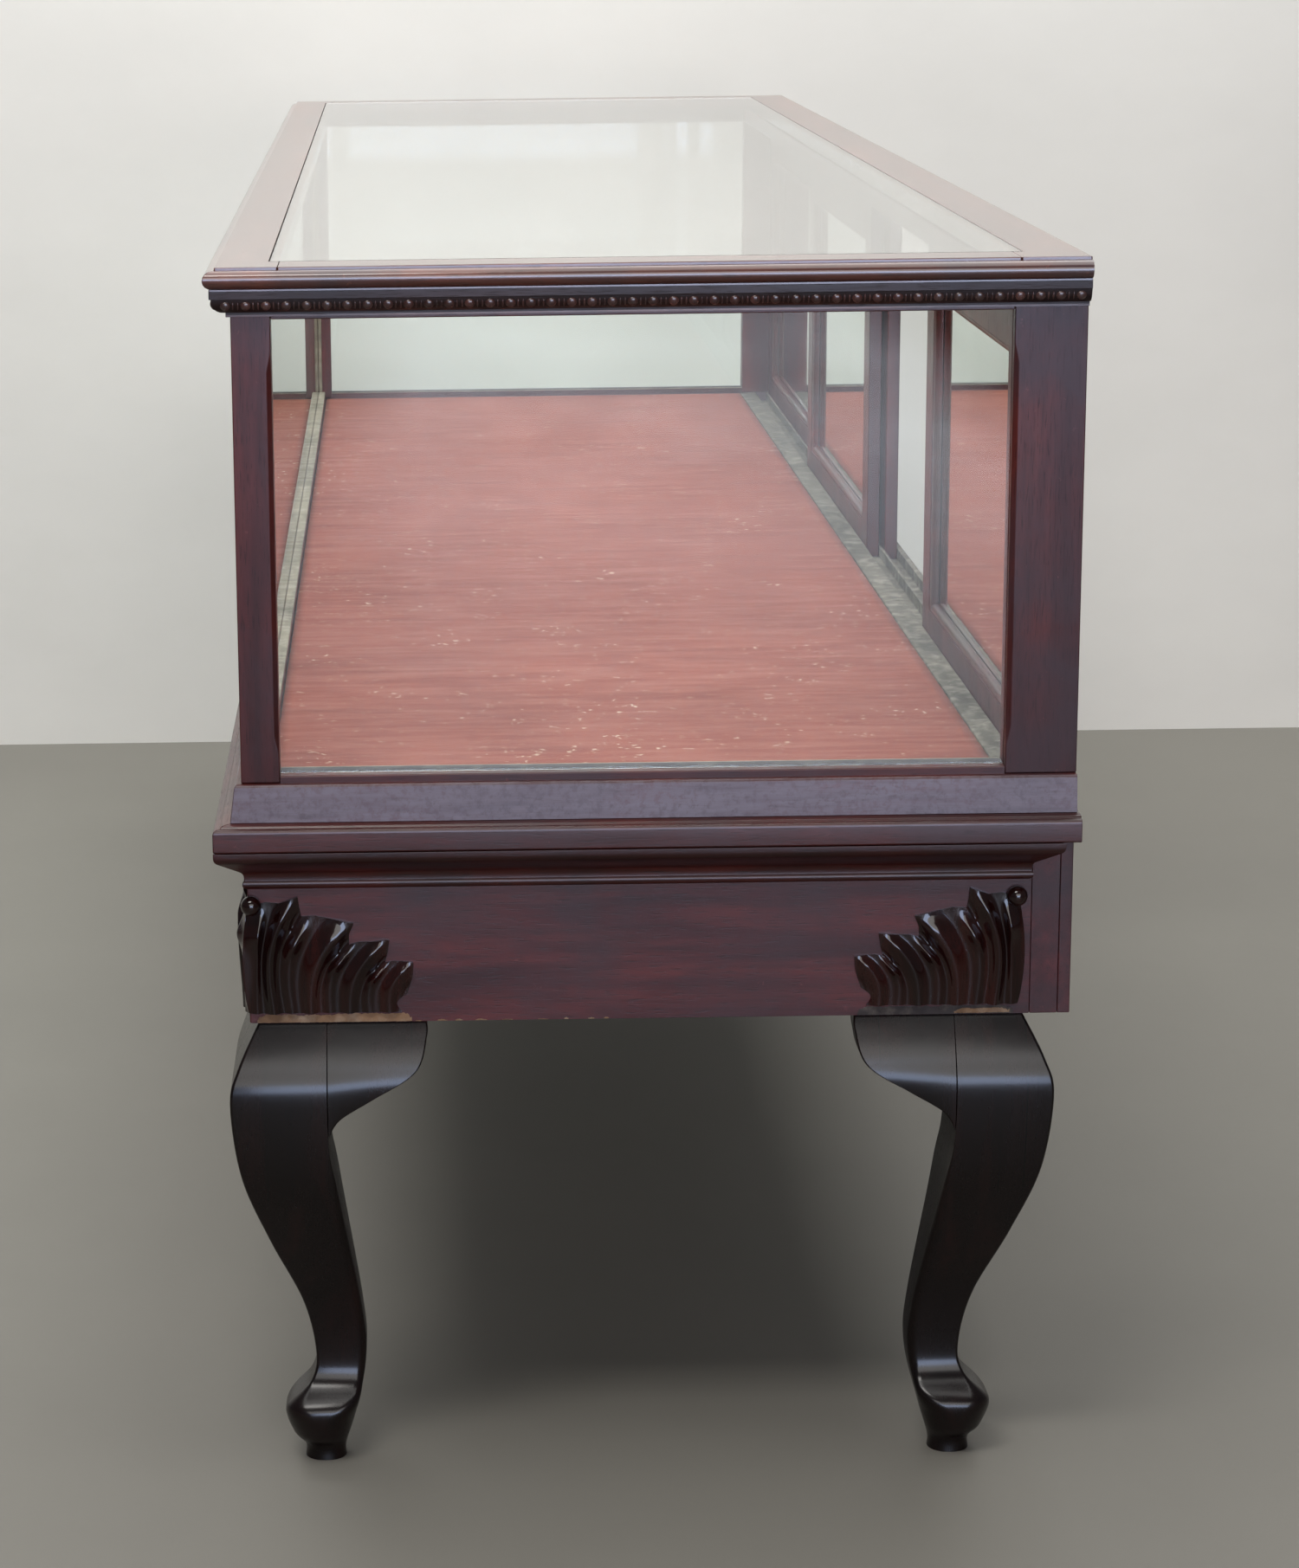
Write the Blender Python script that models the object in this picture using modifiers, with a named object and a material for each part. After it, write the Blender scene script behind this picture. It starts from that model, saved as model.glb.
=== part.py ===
"""Long glazed shop display case: a table-height glass case on four sawn cabriole legs.

Frame: +Z up, +X along the case, -Y the glazed front, +Y the back with four sliding mirror doors.
The origin is on the floor, under the centre of the case. Lengths are in metres.

Side mouldings are drawn as sections (inset, height): the inset is measured inwards from the
outermost line of the case, so one section serves the front and both ends.
"""
import math

import bmesh
import bpy
from mathutils import Matrix, Vector

# Overall size
LENGTH = 2.444
WIDTH = 0.680
HEIGHT = 0.990
HALF_LENGTH = LENGTH / 2
HALF_WIDTH = WIDTH / 2
BACK_PLANE = HALF_WIDTH - 0.002
GAP = 0.0003
ENDS = (("left", -1), ("right", 1))

# Heights of the courses, from the floor up
LEG_TOP = 0.3885
APRON_TOP = 0.5340
LEDGE_TOP = 0.5555
PLINTH_TOP = 0.5855
DECK_TOP = 0.5850
GLASS_BOTTOM = 0.5915
GLASS_TOP = 0.9490
FRAME_BOTTOM = 0.9680

# Insets of the vertical faces from the outermost line
TOP_INSET = 0.0025
TOP_FRAME_INSET = 0.0115
POST_INSET = 0.0225
PLINTH_INSET = 0.0170
PLINTH_FOOT_INSET = 0.0135
APRON_INSET = 0.0250
APRON_THICK = 0.0210
INNER_INSET = 0.0525
FRONT_INNER_INSET = 0.0450

# Apron boards, and the deck with its lining
APRON_FACE_X = HALF_LENGTH - APRON_INSET
BACK_BOARD_FRONT = BACK_PLANE - 0.0320
FACING_FRONT = BACK_PLANE - 0.0100
DECK_THICK = 0.0210
LINING_THICK = 0.0012
LINING_MARGIN = 0.0010

# Corner posts and glass
FRONT_POST_WIDTH = 0.0305
BACK_POST_WIDTH = 0.0560
POST_FRONT = -HALF_WIDTH + POST_INSET
POST_END = HALF_LENGTH - POST_INSET
POST_INNER_X = HALF_LENGTH - INNER_INSET
PANE_THICK = 0.0045
PANE_INSET = 0.0310
PANE_GROOVE = 0.0060

# Stopped chamfers on the posts, on the arrises beside the glass
CHAMFER_WIDTH = 0.0050
CHAMFER_LOW = 0.6080
CHAMFER_HIGH = 0.9240
CHAMFER_RUN_OUT = 0.0160

# Mouldings are drawn this much too long and mitred back; a shape used as a cutter is this deep
OVERLENGTH = 1.2
CUTTER_DEPTH = 0.3500
CUTTER_MARGIN = 0.0100

# Top frame and its glass
TOP_RAIL_FRONT = 0.0400
TOP_RAIL_BACK = 0.0455
TOP_RAIL_END = 0.0450
TOP_GLASS_THICK = 0.0070
TOP_GLASS_SEAT = 0.0080
TOP_GLASS_CLEAR = 0.0010

# Sliding doors and their tracks
SILL_FRONT = 0.2800
TRACK_FIRST = 0.3010
TRACK_GROOVE = 0.0140
TRACK_DIVIDER = 0.0030
LOWER_GROOVE_DEPTH = 0.0110
UPPER_GROOVE_DEPTH = 0.0130
SILL_BOTTOM = 0.5343
DOOR_LENGTH = 0.6070
DOOR_THICK = 0.0130
DOOR_STILE = 0.0450
DOOR_BOTTOM_RAIL = 0.0330
DOOR_TOP_RAIL = 0.0565
DOOR_REBATE = 0.0050
DOOR_PANE_THICK = 0.0030
DOOR_PANE_SETBACK = 0.0085
PULL_RADIUS = 0.0140
PULL_DEPTH = 0.0045
# Each door: groove (0 is the inner one), and where its right-hand edge stands as stored
DOORS = {
    "door_a": (0, POST_INNER_X - 0.0005),
    "door_b": (1, 0.1370),
    "door_c": (0, 0.1200),
    "door_d": (1, -POST_INNER_X + 0.0005 + DOOR_LENGTH),
}

# Legs: the knees stand this far inside the outermost line at the front, back and ends
KNEE_FRONT = -HALF_WIDTH + 0.0080
KNEE_BACK = HALF_WIDTH - 0.0150
KNEE_END = HALF_LENGTH - 0.0080
LEG_DEPTH = 0.1060
LEG_BLOCK = 0.0780
WING_REACH = 0.1580
WING_THICK = 0.0400
# Leg outline as (distance in from the knee, height, is a corner)
LEG_OUTLINE = [
    (0.0240, LEG_TOP, True),
    (0.0070, 0.3540, False),
    (0.0000, 0.3250, False),
    (0.0075, 0.2620, False),
    (0.0285, 0.2010, False),
    (0.0535, 0.1400, False),
    (0.0630, 0.0930, False),
    (0.0590, 0.0680, False),
    (0.0380, 0.0470, False),
    (0.0430, 0.0240, False),
    (0.0530, 0.0110, True),
    (0.0530, 0.0000, True),
    (0.0870, 0.0000, True),
    (0.0870, 0.0110, True),
    (0.0960, 0.0420, False),
    (0.1045, 0.0850, False),
    (0.1020, 0.1300, False),
    (0.0850, 0.2450, False),
    (LEG_BLOCK, 0.2940, True),
    (LEG_BLOCK, LEG_TOP, True),
]
WING_OUTLINE = [
    (LEG_BLOCK + GAP, LEG_TOP, True),
    (WING_REACH, LEG_TOP, True),
    (WING_REACH, 0.3760, False),
    (0.1490, 0.3500, False),
    (0.1150, 0.3290, False),
    (0.0880, 0.3120, False),
    (LEG_BLOCK + GAP, 0.2965, True),
]

# Carved leaf mounts over the legs, as (distance from the apron's corner, height, is a corner)
LEAF_THICK = 0.0070
LEAF_BACK_EDGE = BACK_PLANE - 0.0360
LEAF_OUTLINE = [
    (0.0000, 0.3975, True),
    (0.1210, 0.3990, True),
    (0.1310, 0.4350, False),
    (0.1180, 0.4440, False),
    (0.1120, 0.4560, False),
    (0.0930, 0.4600, False),
    (0.0840, 0.4710, False),
    (0.0580, 0.4740, False),
    (0.0400, 0.4930, False),
    (0.0240, 0.4860, False),
    (0.0110, 0.4970, False),
    (0.0000, 0.4950, True),
]


def clear_scene():
    for item in list(bpy.data.objects):
        bpy.data.objects.remove(item, do_unlink=True)


def new_collection(name):
    group = bpy.data.collections.new(name)
    bpy.context.scene.collection.children.link(group)
    return group


def material(name, colour, roughness, metallic=0.0, alpha=1.0):
    made = bpy.data.materials.new(name)
    made.use_nodes = True
    shader = made.node_tree.nodes["Principled BSDF"]
    shader.inputs["Base Color"].default_value = (*colour, 1.0)
    shader.inputs["Roughness"].default_value = roughness
    shader.inputs["Metallic"].default_value = metallic
    shader.inputs["Alpha"].default_value = alpha
    made.diffuse_color = (*colour, alpha)
    return made


def place(name, mesh, finish, matrix=Matrix.Identity(4), group=None):
    """Put a mesh in the scene as one named sub-part."""
    piece = bpy.data.objects.new(name, mesh)
    piece.matrix_world = matrix
    if finish:
        piece.data.materials.append(finish)
    (group or PARTS).objects.link(piece)
    return piece


def box_mesh(name, size):
    mesh = bpy.data.meshes.new(name)
    work = bmesh.new()
    bmesh.ops.create_cube(work, size=1.0, matrix=Matrix.Diagonal((*size, 1.0)))
    work.to_mesh(mesh)
    work.free()
    return mesh


def box(name, low, high, finish, group=None):
    """A box between two corners, standing at its own centre."""
    low, high = Vector(low), Vector(high)
    return place(name, box_mesh(name, high - low), finish, Matrix.Translation((low + high) / 2), group)


def bevel(piece, width):
    edge = piece.modifiers.new("edges", "BEVEL")
    edge.width = width
    edge.segments = 1
    edge.limit_method = "ANGLE"
    return piece


def cutter(name, low, high):
    tool = box(name, low, high, None, CUTTERS)
    tool.hide_render = True
    tool.display_type = "WIRE"
    return tool


def boolean(piece, tool, operation="DIFFERENCE"):
    cut = piece.modifiers.new(operation.lower() + "_" + tool.name, "BOOLEAN")
    cut.operation = operation
    cut.object = tool
    return piece


def curve_mesh(name, points, depth, resolution=3):
    """A closed outline in XY, extruded evenly along Z by the whole depth, as a mesh.

    The points are (x, y) for straight corners, or (x, y, is a corner) where the rest is a smooth curve.
    """
    drawn = bpy.data.curves.new(name, "CURVE")
    drawn.dimensions = "2D"
    drawn.fill_mode = "BOTH"
    drawn.extrude = depth / 2
    smooth = len(points[0]) == 3
    spline = drawn.splines.new("BEZIER" if smooth else "POLY")
    if smooth:
        drawn.resolution_u = resolution
        spline.bezier_points.add(len(points) - 1)
        for knot, (x, y, corner) in zip(spline.bezier_points, points):
            knot.co = (x, y, 0)
            knot.handle_left_type = "VECTOR" if corner else "AUTO"
            knot.handle_right_type = "VECTOR" if corner else "AUTO"
    else:
        spline.points.add(len(points) - 1)
        for knot, (x, y) in zip(spline.points, points):
            knot.co = (x, y, 0, 1)
    spline.use_cyclic_u = True
    holder = bpy.data.objects.new(name, drawn)
    bpy.context.scene.collection.objects.link(holder)
    bpy.context.view_layer.update()
    mesh = bpy.data.meshes.new_from_object(holder.evaluated_get(bpy.context.evaluated_depsgraph_get()))
    bpy.data.objects.remove(holder, do_unlink=True)
    work = bmesh.new()
    work.from_mesh(mesh)
    bmesh.ops.remove_doubles(work, verts=work.verts, dist=0.00002)
    bmesh.ops.recalc_face_normals(work, faces=work.faces)
    work.to_mesh(mesh)
    work.free()
    return mesh


def arc(centre, radius, start, end, steps):
    """Points on an arc in a section, angles in degrees, 0 pointing inwards and 90 up."""
    angles = [math.radians(start + (end - start) * i / steps) for i in range(steps + 1)]
    return [(centre[0] + radius * math.cos(a), centre[1] + radius * math.sin(a)) for a in angles]


def slice_mesh(mesh, point, normal):
    """Cut away what lies beyond a plane, and close the cut."""
    work = bmesh.new()
    work.from_mesh(mesh)
    whole = list(work.verts) + list(work.edges) + list(work.faces)
    cut = bmesh.ops.bisect_plane(work, geom=whole, plane_co=point, plane_no=normal, clear_outer=True)
    rim = [part for part in cut["geom_cut"] if isinstance(part, bmesh.types.BMEdge)]
    bmesh.ops.contextual_create(work, geom=rim)
    bmesh.ops.recalc_face_normals(work, faces=work.faces)
    work.to_mesh(mesh)
    work.free()


def side_piece(name, section, side, finish, back_end=BACK_PLANE, back_mitre=False):
    """A length of moulding or board run round one side, mitred at the front corners."""
    mesh = curve_mesh(name, section, OVERLENGTH * (LENGTH if side == "front" else WIDTH))
    # Section x is the inset and y the height; the run is turned to lie along the side.
    if side == "front":
        turn = Matrix(((0, 0, 1, 0), (1, 0, 0, -HALF_WIDTH), (0, 1, 0, 0), (0, 0, 0, 1)))
    elif side == "left":
        turn = Matrix(((1, 0, 0, -HALF_LENGTH), (0, 0, 1, 0), (0, 1, 0, 0), (0, 0, 0, 1)))
    else:
        turn = Matrix(((-1, 0, 0, HALF_LENGTH), (0, 0, 1, 0), (0, 1, 0, 0), (0, 0, 0, 1)))
    mesh.transform(turn)
    if side == "front":
        for sign in (-1, 1):
            corner = Vector((sign * (HALF_LENGTH - GAP), -HALF_WIDTH, 0))
            slice_mesh(mesh, corner, Vector((sign, 1, 0)))
    else:
        sign = -1 if side == "left" else 1
        corner = Vector((sign * HALF_LENGTH, -HALF_WIDTH + GAP, 0))
        slice_mesh(mesh, corner, Vector((-sign, -1, 0)))
        outer_end = Vector((sign * HALF_LENGTH, back_end, 0))
        slice_mesh(mesh, outer_end, Vector((-sign, 1, 0)) if back_mitre else Vector((0, 1, 0)))
    return place(name, mesh, finish)


def for_three_sides(name, section, finish, **options):
    return {side: side_piece(f"{name}_{side}", section, side, finish, **options)
            for side in ("front", "left", "right")}


def apron_section():
    back = APRON_INSET + APRON_THICK
    return [(APRON_INSET, LEG_TOP + GAP), (back, LEG_TOP + GAP), (back, APRON_TOP), (APRON_INSET, APRON_TOP)]


def cove_section():
    """A round nose sweeping into a cove, with an astragal below, planted on the apron."""
    back = APRON_INSET - GAP
    nose = 0.0065
    nose_height = APRON_TOP - 0.0035
    hollow = 0.0070
    foot = 0.0230
    foot_height = 0.5085
    bead = 0.0040
    bead_height = 0.5035
    points = [(back, APRON_TOP), (0.0, APRON_TOP)]
    points += arc((nose, nose_height), nose, 180, 245, 4)
    points += arc((foot - hollow, foot_height), hollow, 60, 0, 4)
    points += arc((back + 0.0008, bead_height), bead, 130, 248, 6)
    points += [(back, bead_height - bead)]
    return points


def ledge_section():
    """The stepped ledge board that runs under the plinth."""
    inner = 0.0450
    bottom = APRON_TOP + GAP
    return [(inner, bottom), (0.0012, bottom), (0.0, bottom + 0.0012), (0.0, LEDGE_TOP - 0.0060),
            (0.0008, LEDGE_TOP - 0.0036), (0.0028, LEDGE_TOP - 0.0025), (0.0055, LEDGE_TOP - 0.0025),
            (0.0065, LEDGE_TOP - 0.0008), (0.0090, LEDGE_TOP), (inner, LEDGE_TOP)]


def plinth_section(inner_inset):
    """The plinth board, which leans back and has a rounded top edge, with the glass rail above it."""
    inner = inner_inset - GAP
    bottom = LEDGE_TOP + GAP
    edge = 0.0032
    points = [(inner, bottom), (PLINTH_FOOT_INSET, bottom)]
    points += arc((PLINTH_INSET + edge, PLINTH_TOP - edge), edge, 172, 90, 4)
    points += [(POST_INSET, PLINTH_TOP), (POST_INSET, GLASS_BOTTOM - 0.0010),
               (POST_INSET + 0.0010, GLASS_BOTTOM), (inner, GLASS_BOTTOM)]
    return points


def top_moulding_section():
    """Half-round nosing over a fascia, an ovolo and a fillet."""
    nose = 0.0070
    nose_height = HEIGHT - 0.0095
    fascia = TOP_INSET + 0.0047
    fascia_bottom = HEIGHT - 0.0240
    ovolo = 0.0095
    fillet = TOP_INSET + 0.0167
    foot = HEIGHT - 0.0385
    frame_back = TOP_FRAME_INSET - GAP
    rail_back = POST_INSET - GAP
    points = [(frame_back, nose_height + nose)]
    points += arc((TOP_INSET + nose, nose_height), nose, 90, 270, 8)
    points += [(fascia, nose_height - nose), (fascia, fascia_bottom), (fascia + 0.0012, fascia_bottom)]
    points += arc((fascia + 0.0015 + ovolo, fascia_bottom - 0.0015), ovolo, 180, 270, 5)
    points += [(fillet, fascia_bottom - 0.0015 - ovolo), (fillet, foot), (rail_back, foot),
               (rail_back, FRAME_BOTTOM - GAP), (frame_back, FRAME_BOTTOM - GAP)]
    return points


def turn_outline(origin, along, depth_axis):
    """A matrix that lays an outline's x along a direction, its y up and its thickness along an axis."""
    side = Vector(along)
    thick = Vector(depth_axis)
    columns = Matrix((side, Vector((0, 0, 1)), thick)).transposed().to_4x4()
    return Matrix.Translation(origin) @ columns


def profile_solid(name, outline, depth, matrix, finish=None, group=None):
    mesh = curve_mesh(name, outline, depth)
    mesh.transform(matrix)
    if matrix.to_3x3().determinant() < 0:
        mesh.flip_normals()
    return place(name, mesh, finish, group=group)


def profile_cutter(name, outline, depth, matrix):
    tool = profile_solid(name, outline, depth, matrix, group=CUTTERS)
    tool.hide_render = True
    tool.display_type = "WIRE"
    return tool


def leg(name, end, front, finish):
    """One sawn cabriole leg: the same outline cut across both faces, with a knee wing on each.

    end is -1 or 1 for the left or right end; front is -1 or 1 for the front or back of the case.
    """
    knee_x = end * KNEE_END
    knee_y = KNEE_FRONT if front < 0 else KNEE_BACK
    inwards_x = Vector((-end, 0, 0))
    inwards_y = Vector((0, -front, 0))
    middle = LEG_DEPTH / 2
    seen_from_end = turn_outline((knee_x - end * middle, knee_y, 0), inwards_y, (1, 0, 0))
    seen_from_side = turn_outline((knee_x, knee_y, 0), inwards_x, (0, 1, 0))
    core = profile_solid(name, LEG_OUTLINE, LEG_DEPTH, seen_from_end, finish)
    side_shape = profile_cutter(name + "_side_shape", LEG_OUTLINE, CUTTER_DEPTH, seen_from_side)
    boolean(core, side_shape, "INTERSECT")
    end_shape = profile_cutter(name + "_end_shape", LEG_OUTLINE, CUTTER_DEPTH,
                               turn_outline((knee_x, knee_y, 0), inwards_y, (1, 0, 0)))
    half_wing = WING_THICK / 2
    wing = profile_solid(name.replace("leg", "knee_wing_end"), WING_OUTLINE, WING_THICK,
                         turn_outline((knee_x - end * half_wing, knee_y, 0), inwards_y, (1, 0, 0)), finish)
    boolean(wing, side_shape, "INTERSECT")
    wing = profile_solid(name.replace("leg", "knee_wing_side"), WING_OUTLINE, WING_THICK,
                         turn_outline((knee_x, knee_y - front * half_wing, 0), inwards_x, (0, 1, 0)), finish)
    boolean(wing, end_shape, "INTERSECT")


def leaf_mount(name, end, front, finish):
    """A carved mount over a leg; at the front it turns the corner of the apron."""
    face_x = end * (HALF_LENGTH - APRON_INSET + GAP)
    face_y = -HALF_WIDTH + APRON_INSET - GAP if front < 0 else LEAF_BACK_EDGE
    half = LEAF_THICK / 2
    on_end = turn_outline((face_x + end * half, face_y, 0), (0, -front, 0), (1, 0, 0))
    mount = profile_solid(name, LEAF_OUTLINE, LEAF_THICK, on_end, finish)
    if front < 0:
        corner_outline = [(x - (LEAF_THICK if x == 0 else 0), z, corner) for x, z, corner in LEAF_OUTLINE]
        on_front = turn_outline((face_x, face_y - half, 0), (-end, 0, 0), (0, 1, 0))
        other = profile_cutter(name + "_front_leaf", corner_outline, LEAF_THICK, on_front)
        boolean(mount, other, "UNION")


def post_plans():
    """The plan of each corner post, as its lowest and highest x and y."""
    plans = {}
    for end_name, end in ENDS:
        near, far = sorted((end * POST_END, end * POST_INNER_X))
        plans["front_" + end_name] = ((near, POST_FRONT), (far, POST_FRONT + FRONT_POST_WIDTH))
        plans["back_" + end_name] = ((near, BACK_PLANE - BACK_POST_WIDTH), (far, BACK_PLANE))
    return plans


def post_notch(where, low, high):
    """A cutter for the notch where a post stands on the plinth; it runs out past the outer faces."""
    left_clear, right_clear = (CUTTER_MARGIN, GAP) if "left" in where else (GAP, CUTTER_MARGIN)
    front_clear, back_clear = (CUTTER_MARGIN, GAP) if "front" in where else (GAP, CUTTER_MARGIN)
    return cutter("post_notch_" + where, (low[0] - left_clear, low[1] - front_clear, PLINTH_TOP),
                  (high[0] + right_clear, high[1] + back_clear, GLASS_BOTTOM + CUTTER_MARGIN))


def pane_plans():
    """The plan of each upright pane, as its lowest and highest x and y; its edges stand in grooves."""
    front_y = -HALF_WIDTH + PANE_INSET
    reach = POST_INNER_X + PANE_GROOVE
    plans = {"front": ((-reach, front_y), (reach, front_y + PANE_THICK))}
    for end_name, end in ENDS:
        near, far = sorted(end * (HALF_LENGTH - inset) for inset in (PANE_INSET, PANE_INSET + PANE_THICK))
        plans[end_name] = ((near, POST_FRONT + FRONT_POST_WIDTH - PANE_GROOVE),
                           (far, BACK_PLANE - BACK_POST_WIDTH + PANE_GROOVE))
    return plans


def pane_groove(name, low, high):
    """A cutter for a pane's space and its grooves in the posts, from its plan."""
    return cutter(name, (low[0] - GAP, low[1] - GAP, GLASS_BOTTOM - CUTTER_MARGIN),
                  (high[0] + GAP, high[1] + GAP, GLASS_TOP + GAP))


def groove_start(index):
    return TRACK_FIRST + index * (TRACK_GROOVE + TRACK_DIVIDER)


def stop_chamfer(post, arris, outwards):
    """Cut a stopped chamfer on a post's upright arris; outwards points away from the post's middle."""
    cut = CHAMFER_WIDTH / 2
    outline = [(-cut, CHAMFER_LOW + CHAMFER_RUN_OUT), (-cut, CHAMFER_HIGH - CHAMFER_RUN_OUT),
               (cut, CHAMFER_HIGH + CHAMFER_RUN_OUT), (cut, CHAMFER_LOW - CHAMFER_RUN_OUT)]
    along = Vector((*outwards, 0)).normalized()
    across = Vector((-along.y, along.x, 0))
    name = f"chamfer_{len(post.modifiers)}_{post.name}"
    boolean(post, profile_cutter(name, outline, 4 * CHAMFER_WIDTH, turn_outline((*arris, 0), along, across)))


def door(name, groove, right_edge, wood, mirror):
    """A framed mirror door. Its frame is rebated from the back, where a finger pull is sunk."""
    front = groove_start(groove) + (TRACK_GROOVE - DOOR_THICK) / 2
    back = front + DOOR_THICK
    bottom = DECK_TOP - LOWER_GROOVE_DEPTH + GAP
    top = GLASS_TOP + UPPER_GROOVE_DEPTH - 0.0030
    left_edge = right_edge - DOOR_LENGTH
    centre = Vector(((left_edge + right_edge) / 2, (front + back) / 2, (bottom + top) / 2))

    slide = bpy.data.objects.new(name + "_slide", None)
    slide.location = centre
    PARTS.objects.link(slide)

    window_low = Vector((left_edge + DOOR_STILE, front - CUTTER_MARGIN, bottom + DOOR_BOTTOM_RAIL))
    window_high = Vector((right_edge - DOOR_STILE, back + CUTTER_MARGIN, top - DOOR_TOP_RAIL))
    rebate = Vector((DOOR_REBATE, 0, DOOR_REBATE))
    pane_front = front + DOOR_PANE_SETBACK
    rebate_low = window_low - rebate
    rebate_low.y = pane_front - GAP
    frame = bevel(box(name + "_frame", (left_edge, front, bottom), (right_edge, back, top), wood), 0.0008)
    boolean(frame, cutter(name + "_window", window_low, window_high))
    boolean(frame, cutter(name + "_rebate", rebate_low, window_high + rebate))

    pull_x = right_edge - DOOR_STILE / 2 if name in ("door_b", "door_d") else left_edge + DOOR_STILE / 2
    mesh = bpy.data.meshes.new(name + "_pull")
    work = bmesh.new()
    spin = Matrix.Translation((pull_x, back, centre.z)) @ Matrix.Rotation(math.radians(90), 4, "X")
    bmesh.ops.create_cone(work, cap_ends=True, segments=24, radius1=PULL_RADIUS, radius2=PULL_RADIUS,
                          depth=2 * PULL_DEPTH, matrix=spin)
    work.to_mesh(mesh)
    work.free()
    pull = place(name + "_pull_cutter", mesh, None, group=CUTTERS)
    pull.hide_render = True
    pull.display_type = "WIRE"
    boolean(frame, pull)

    inset = Vector((GAP, 0, GAP))
    pane_low = window_low - rebate + inset
    pane_high = window_high + rebate - inset
    pane_low.y = pane_front
    pane_high.y = pane_front + DOOR_PANE_THICK
    pane = box(name + "_pane", pane_low, pane_high, mirror)
    bpy.context.view_layer.update()
    for piece in (frame, pane):
        piece.parent = slide
        piece.matrix_parent_inverse = slide.matrix_world.inverted()


clear_scene()
PARTS = new_collection("showcase")
CUTTERS = new_collection("cutters")

mahogany = material("mahogany", (0.115, 0.036, 0.024), 0.28)
dark_mahogany = material("dark_mahogany", (0.038, 0.014, 0.011), 0.22)
pale_wood = material("pale_wood", (0.42, 0.35, 0.26), 0.6)
glass = material("glass", (0.82, 0.88, 0.86), 0.05, alpha=0.25)
mirror_glass = material("mirror_glass", (0.85, 0.87, 0.86), 0.04, metallic=1.0)
red_felt = material("red_felt", (0.36, 0.095, 0.062), 0.95)

# Legs, with knee wings
for end_name, end in ENDS:
    for front_name, front in (("front", -1), ("back", 1)):
        leg(f"leg_{front_name}_{end_name}", end, front, dark_mahogany)
        leaf_mount(f"leaf_mount_{front_name}_{end_name}", end, front, dark_mahogany)

# Apron box: three moulded sides, a back board, and the thin facing behind it
for_three_sides("apron", apron_section(), mahogany, back_end=BACK_BOARD_FRONT - GAP)
box("apron_back", (-APRON_FACE_X, BACK_BOARD_FRONT, LEG_TOP + GAP),
    (APRON_FACE_X, FACING_FRONT - GAP, APRON_TOP), mahogany)
box("apron_back_facing", (-APRON_FACE_X, FACING_FRONT, LEG_TOP + GAP), (APRON_FACE_X, BACK_PLANE, APRON_TOP),
    mahogany)
for_three_sides("cove_moulding", cove_section(), mahogany, back_end=BACK_PLANE - 0.0100, back_mitre=True)
for_three_sides("ledge", ledge_section(), mahogany, back_end=HALF_WIDTH)

# Plinth, notched for the posts, with the deck and its lining inside
plinth = {
    "front": side_piece("plinth_front", plinth_section(FRONT_INNER_INSET), "front", mahogany),
    "left": side_piece("plinth_left", plinth_section(INNER_INSET), "left", mahogany),
    "right": side_piece("plinth_right", plinth_section(INNER_INSET), "right", mahogany),
}
POST_PLANS = post_plans()
for where, plan in POST_PLANS.items():
    notch = post_notch(where, *plan)
    boolean(plinth[where.split("_")[1]], notch)
    if "front" in where:
        boolean(plinth["front"], notch)

deck_front = -HALF_WIDTH + FRONT_INNER_INSET
box("deck_board", (-POST_INNER_X + GAP, deck_front + GAP, DECK_TOP - DECK_THICK),
    (POST_INNER_X - GAP, SILL_FRONT - GAP, DECK_TOP - LINING_THICK - GAP), pale_wood)
box("deck_lining", (-POST_INNER_X + LINING_MARGIN, deck_front + LINING_MARGIN, DECK_TOP - LINING_THICK),
    (POST_INNER_X - LINING_MARGIN, SILL_FRONT - LINING_MARGIN, DECK_TOP), red_felt)

# Lower and upper door tracks
sill = box("door_sill", (-POST_INNER_X + GAP, SILL_FRONT, SILL_BOTTOM),
           (POST_INNER_X - GAP, BACK_PLANE, DECK_TOP), pale_wood)
head = box("door_head_rail", (-POST_INNER_X + GAP, SILL_FRONT + 0.0020, GLASS_TOP),
           (POST_INNER_X - GAP, BACK_PLANE, FRAME_BOTTOM - GAP), mahogany)
for index in (0, 1):
    start = groove_start(index)
    lower = cutter(f"lower_groove_{index}", (-HALF_LENGTH, start, DECK_TOP - LOWER_GROOVE_DEPTH),
                   (HALF_LENGTH, start + TRACK_GROOVE, DECK_TOP + CUTTER_MARGIN))
    upper = cutter(f"upper_groove_{index}", (-HALF_LENGTH, start, GLASS_TOP - CUTTER_MARGIN),
                   (HALF_LENGTH, start + TRACK_GROOVE, GLASS_TOP + UPPER_GROOVE_DEPTH))
    boolean(sill, lower)
    boolean(head, upper)

# Corner posts, grooved for the panes and chamfered beside them, and the head rails between them
PANE_PLANS = pane_plans()
pane_grooves = {side: pane_groove(f"pane_groove_{side}", *plan) for side, plan in PANE_PLANS.items()}
for where, (low, high) in POST_PLANS.items():
    end = 1 if "right" in where else -1
    post = box(f"post_{where}", (*low, PLINTH_TOP + GAP), (*high, FRAME_BOTTOM - GAP), mahogany)
    boolean(post, pane_grooves[where.split("_")[1]])
    if "front" in where:
        boolean(post, pane_grooves["front"])
        stop_chamfer(post, (end * POST_INNER_X, POST_FRONT), (-end, -1))
        stop_chamfer(post, (end * POST_END, high[1]), (end, 1))
    else:
        stop_chamfer(post, (end * POST_END, low[1]), (end, -1))

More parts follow.
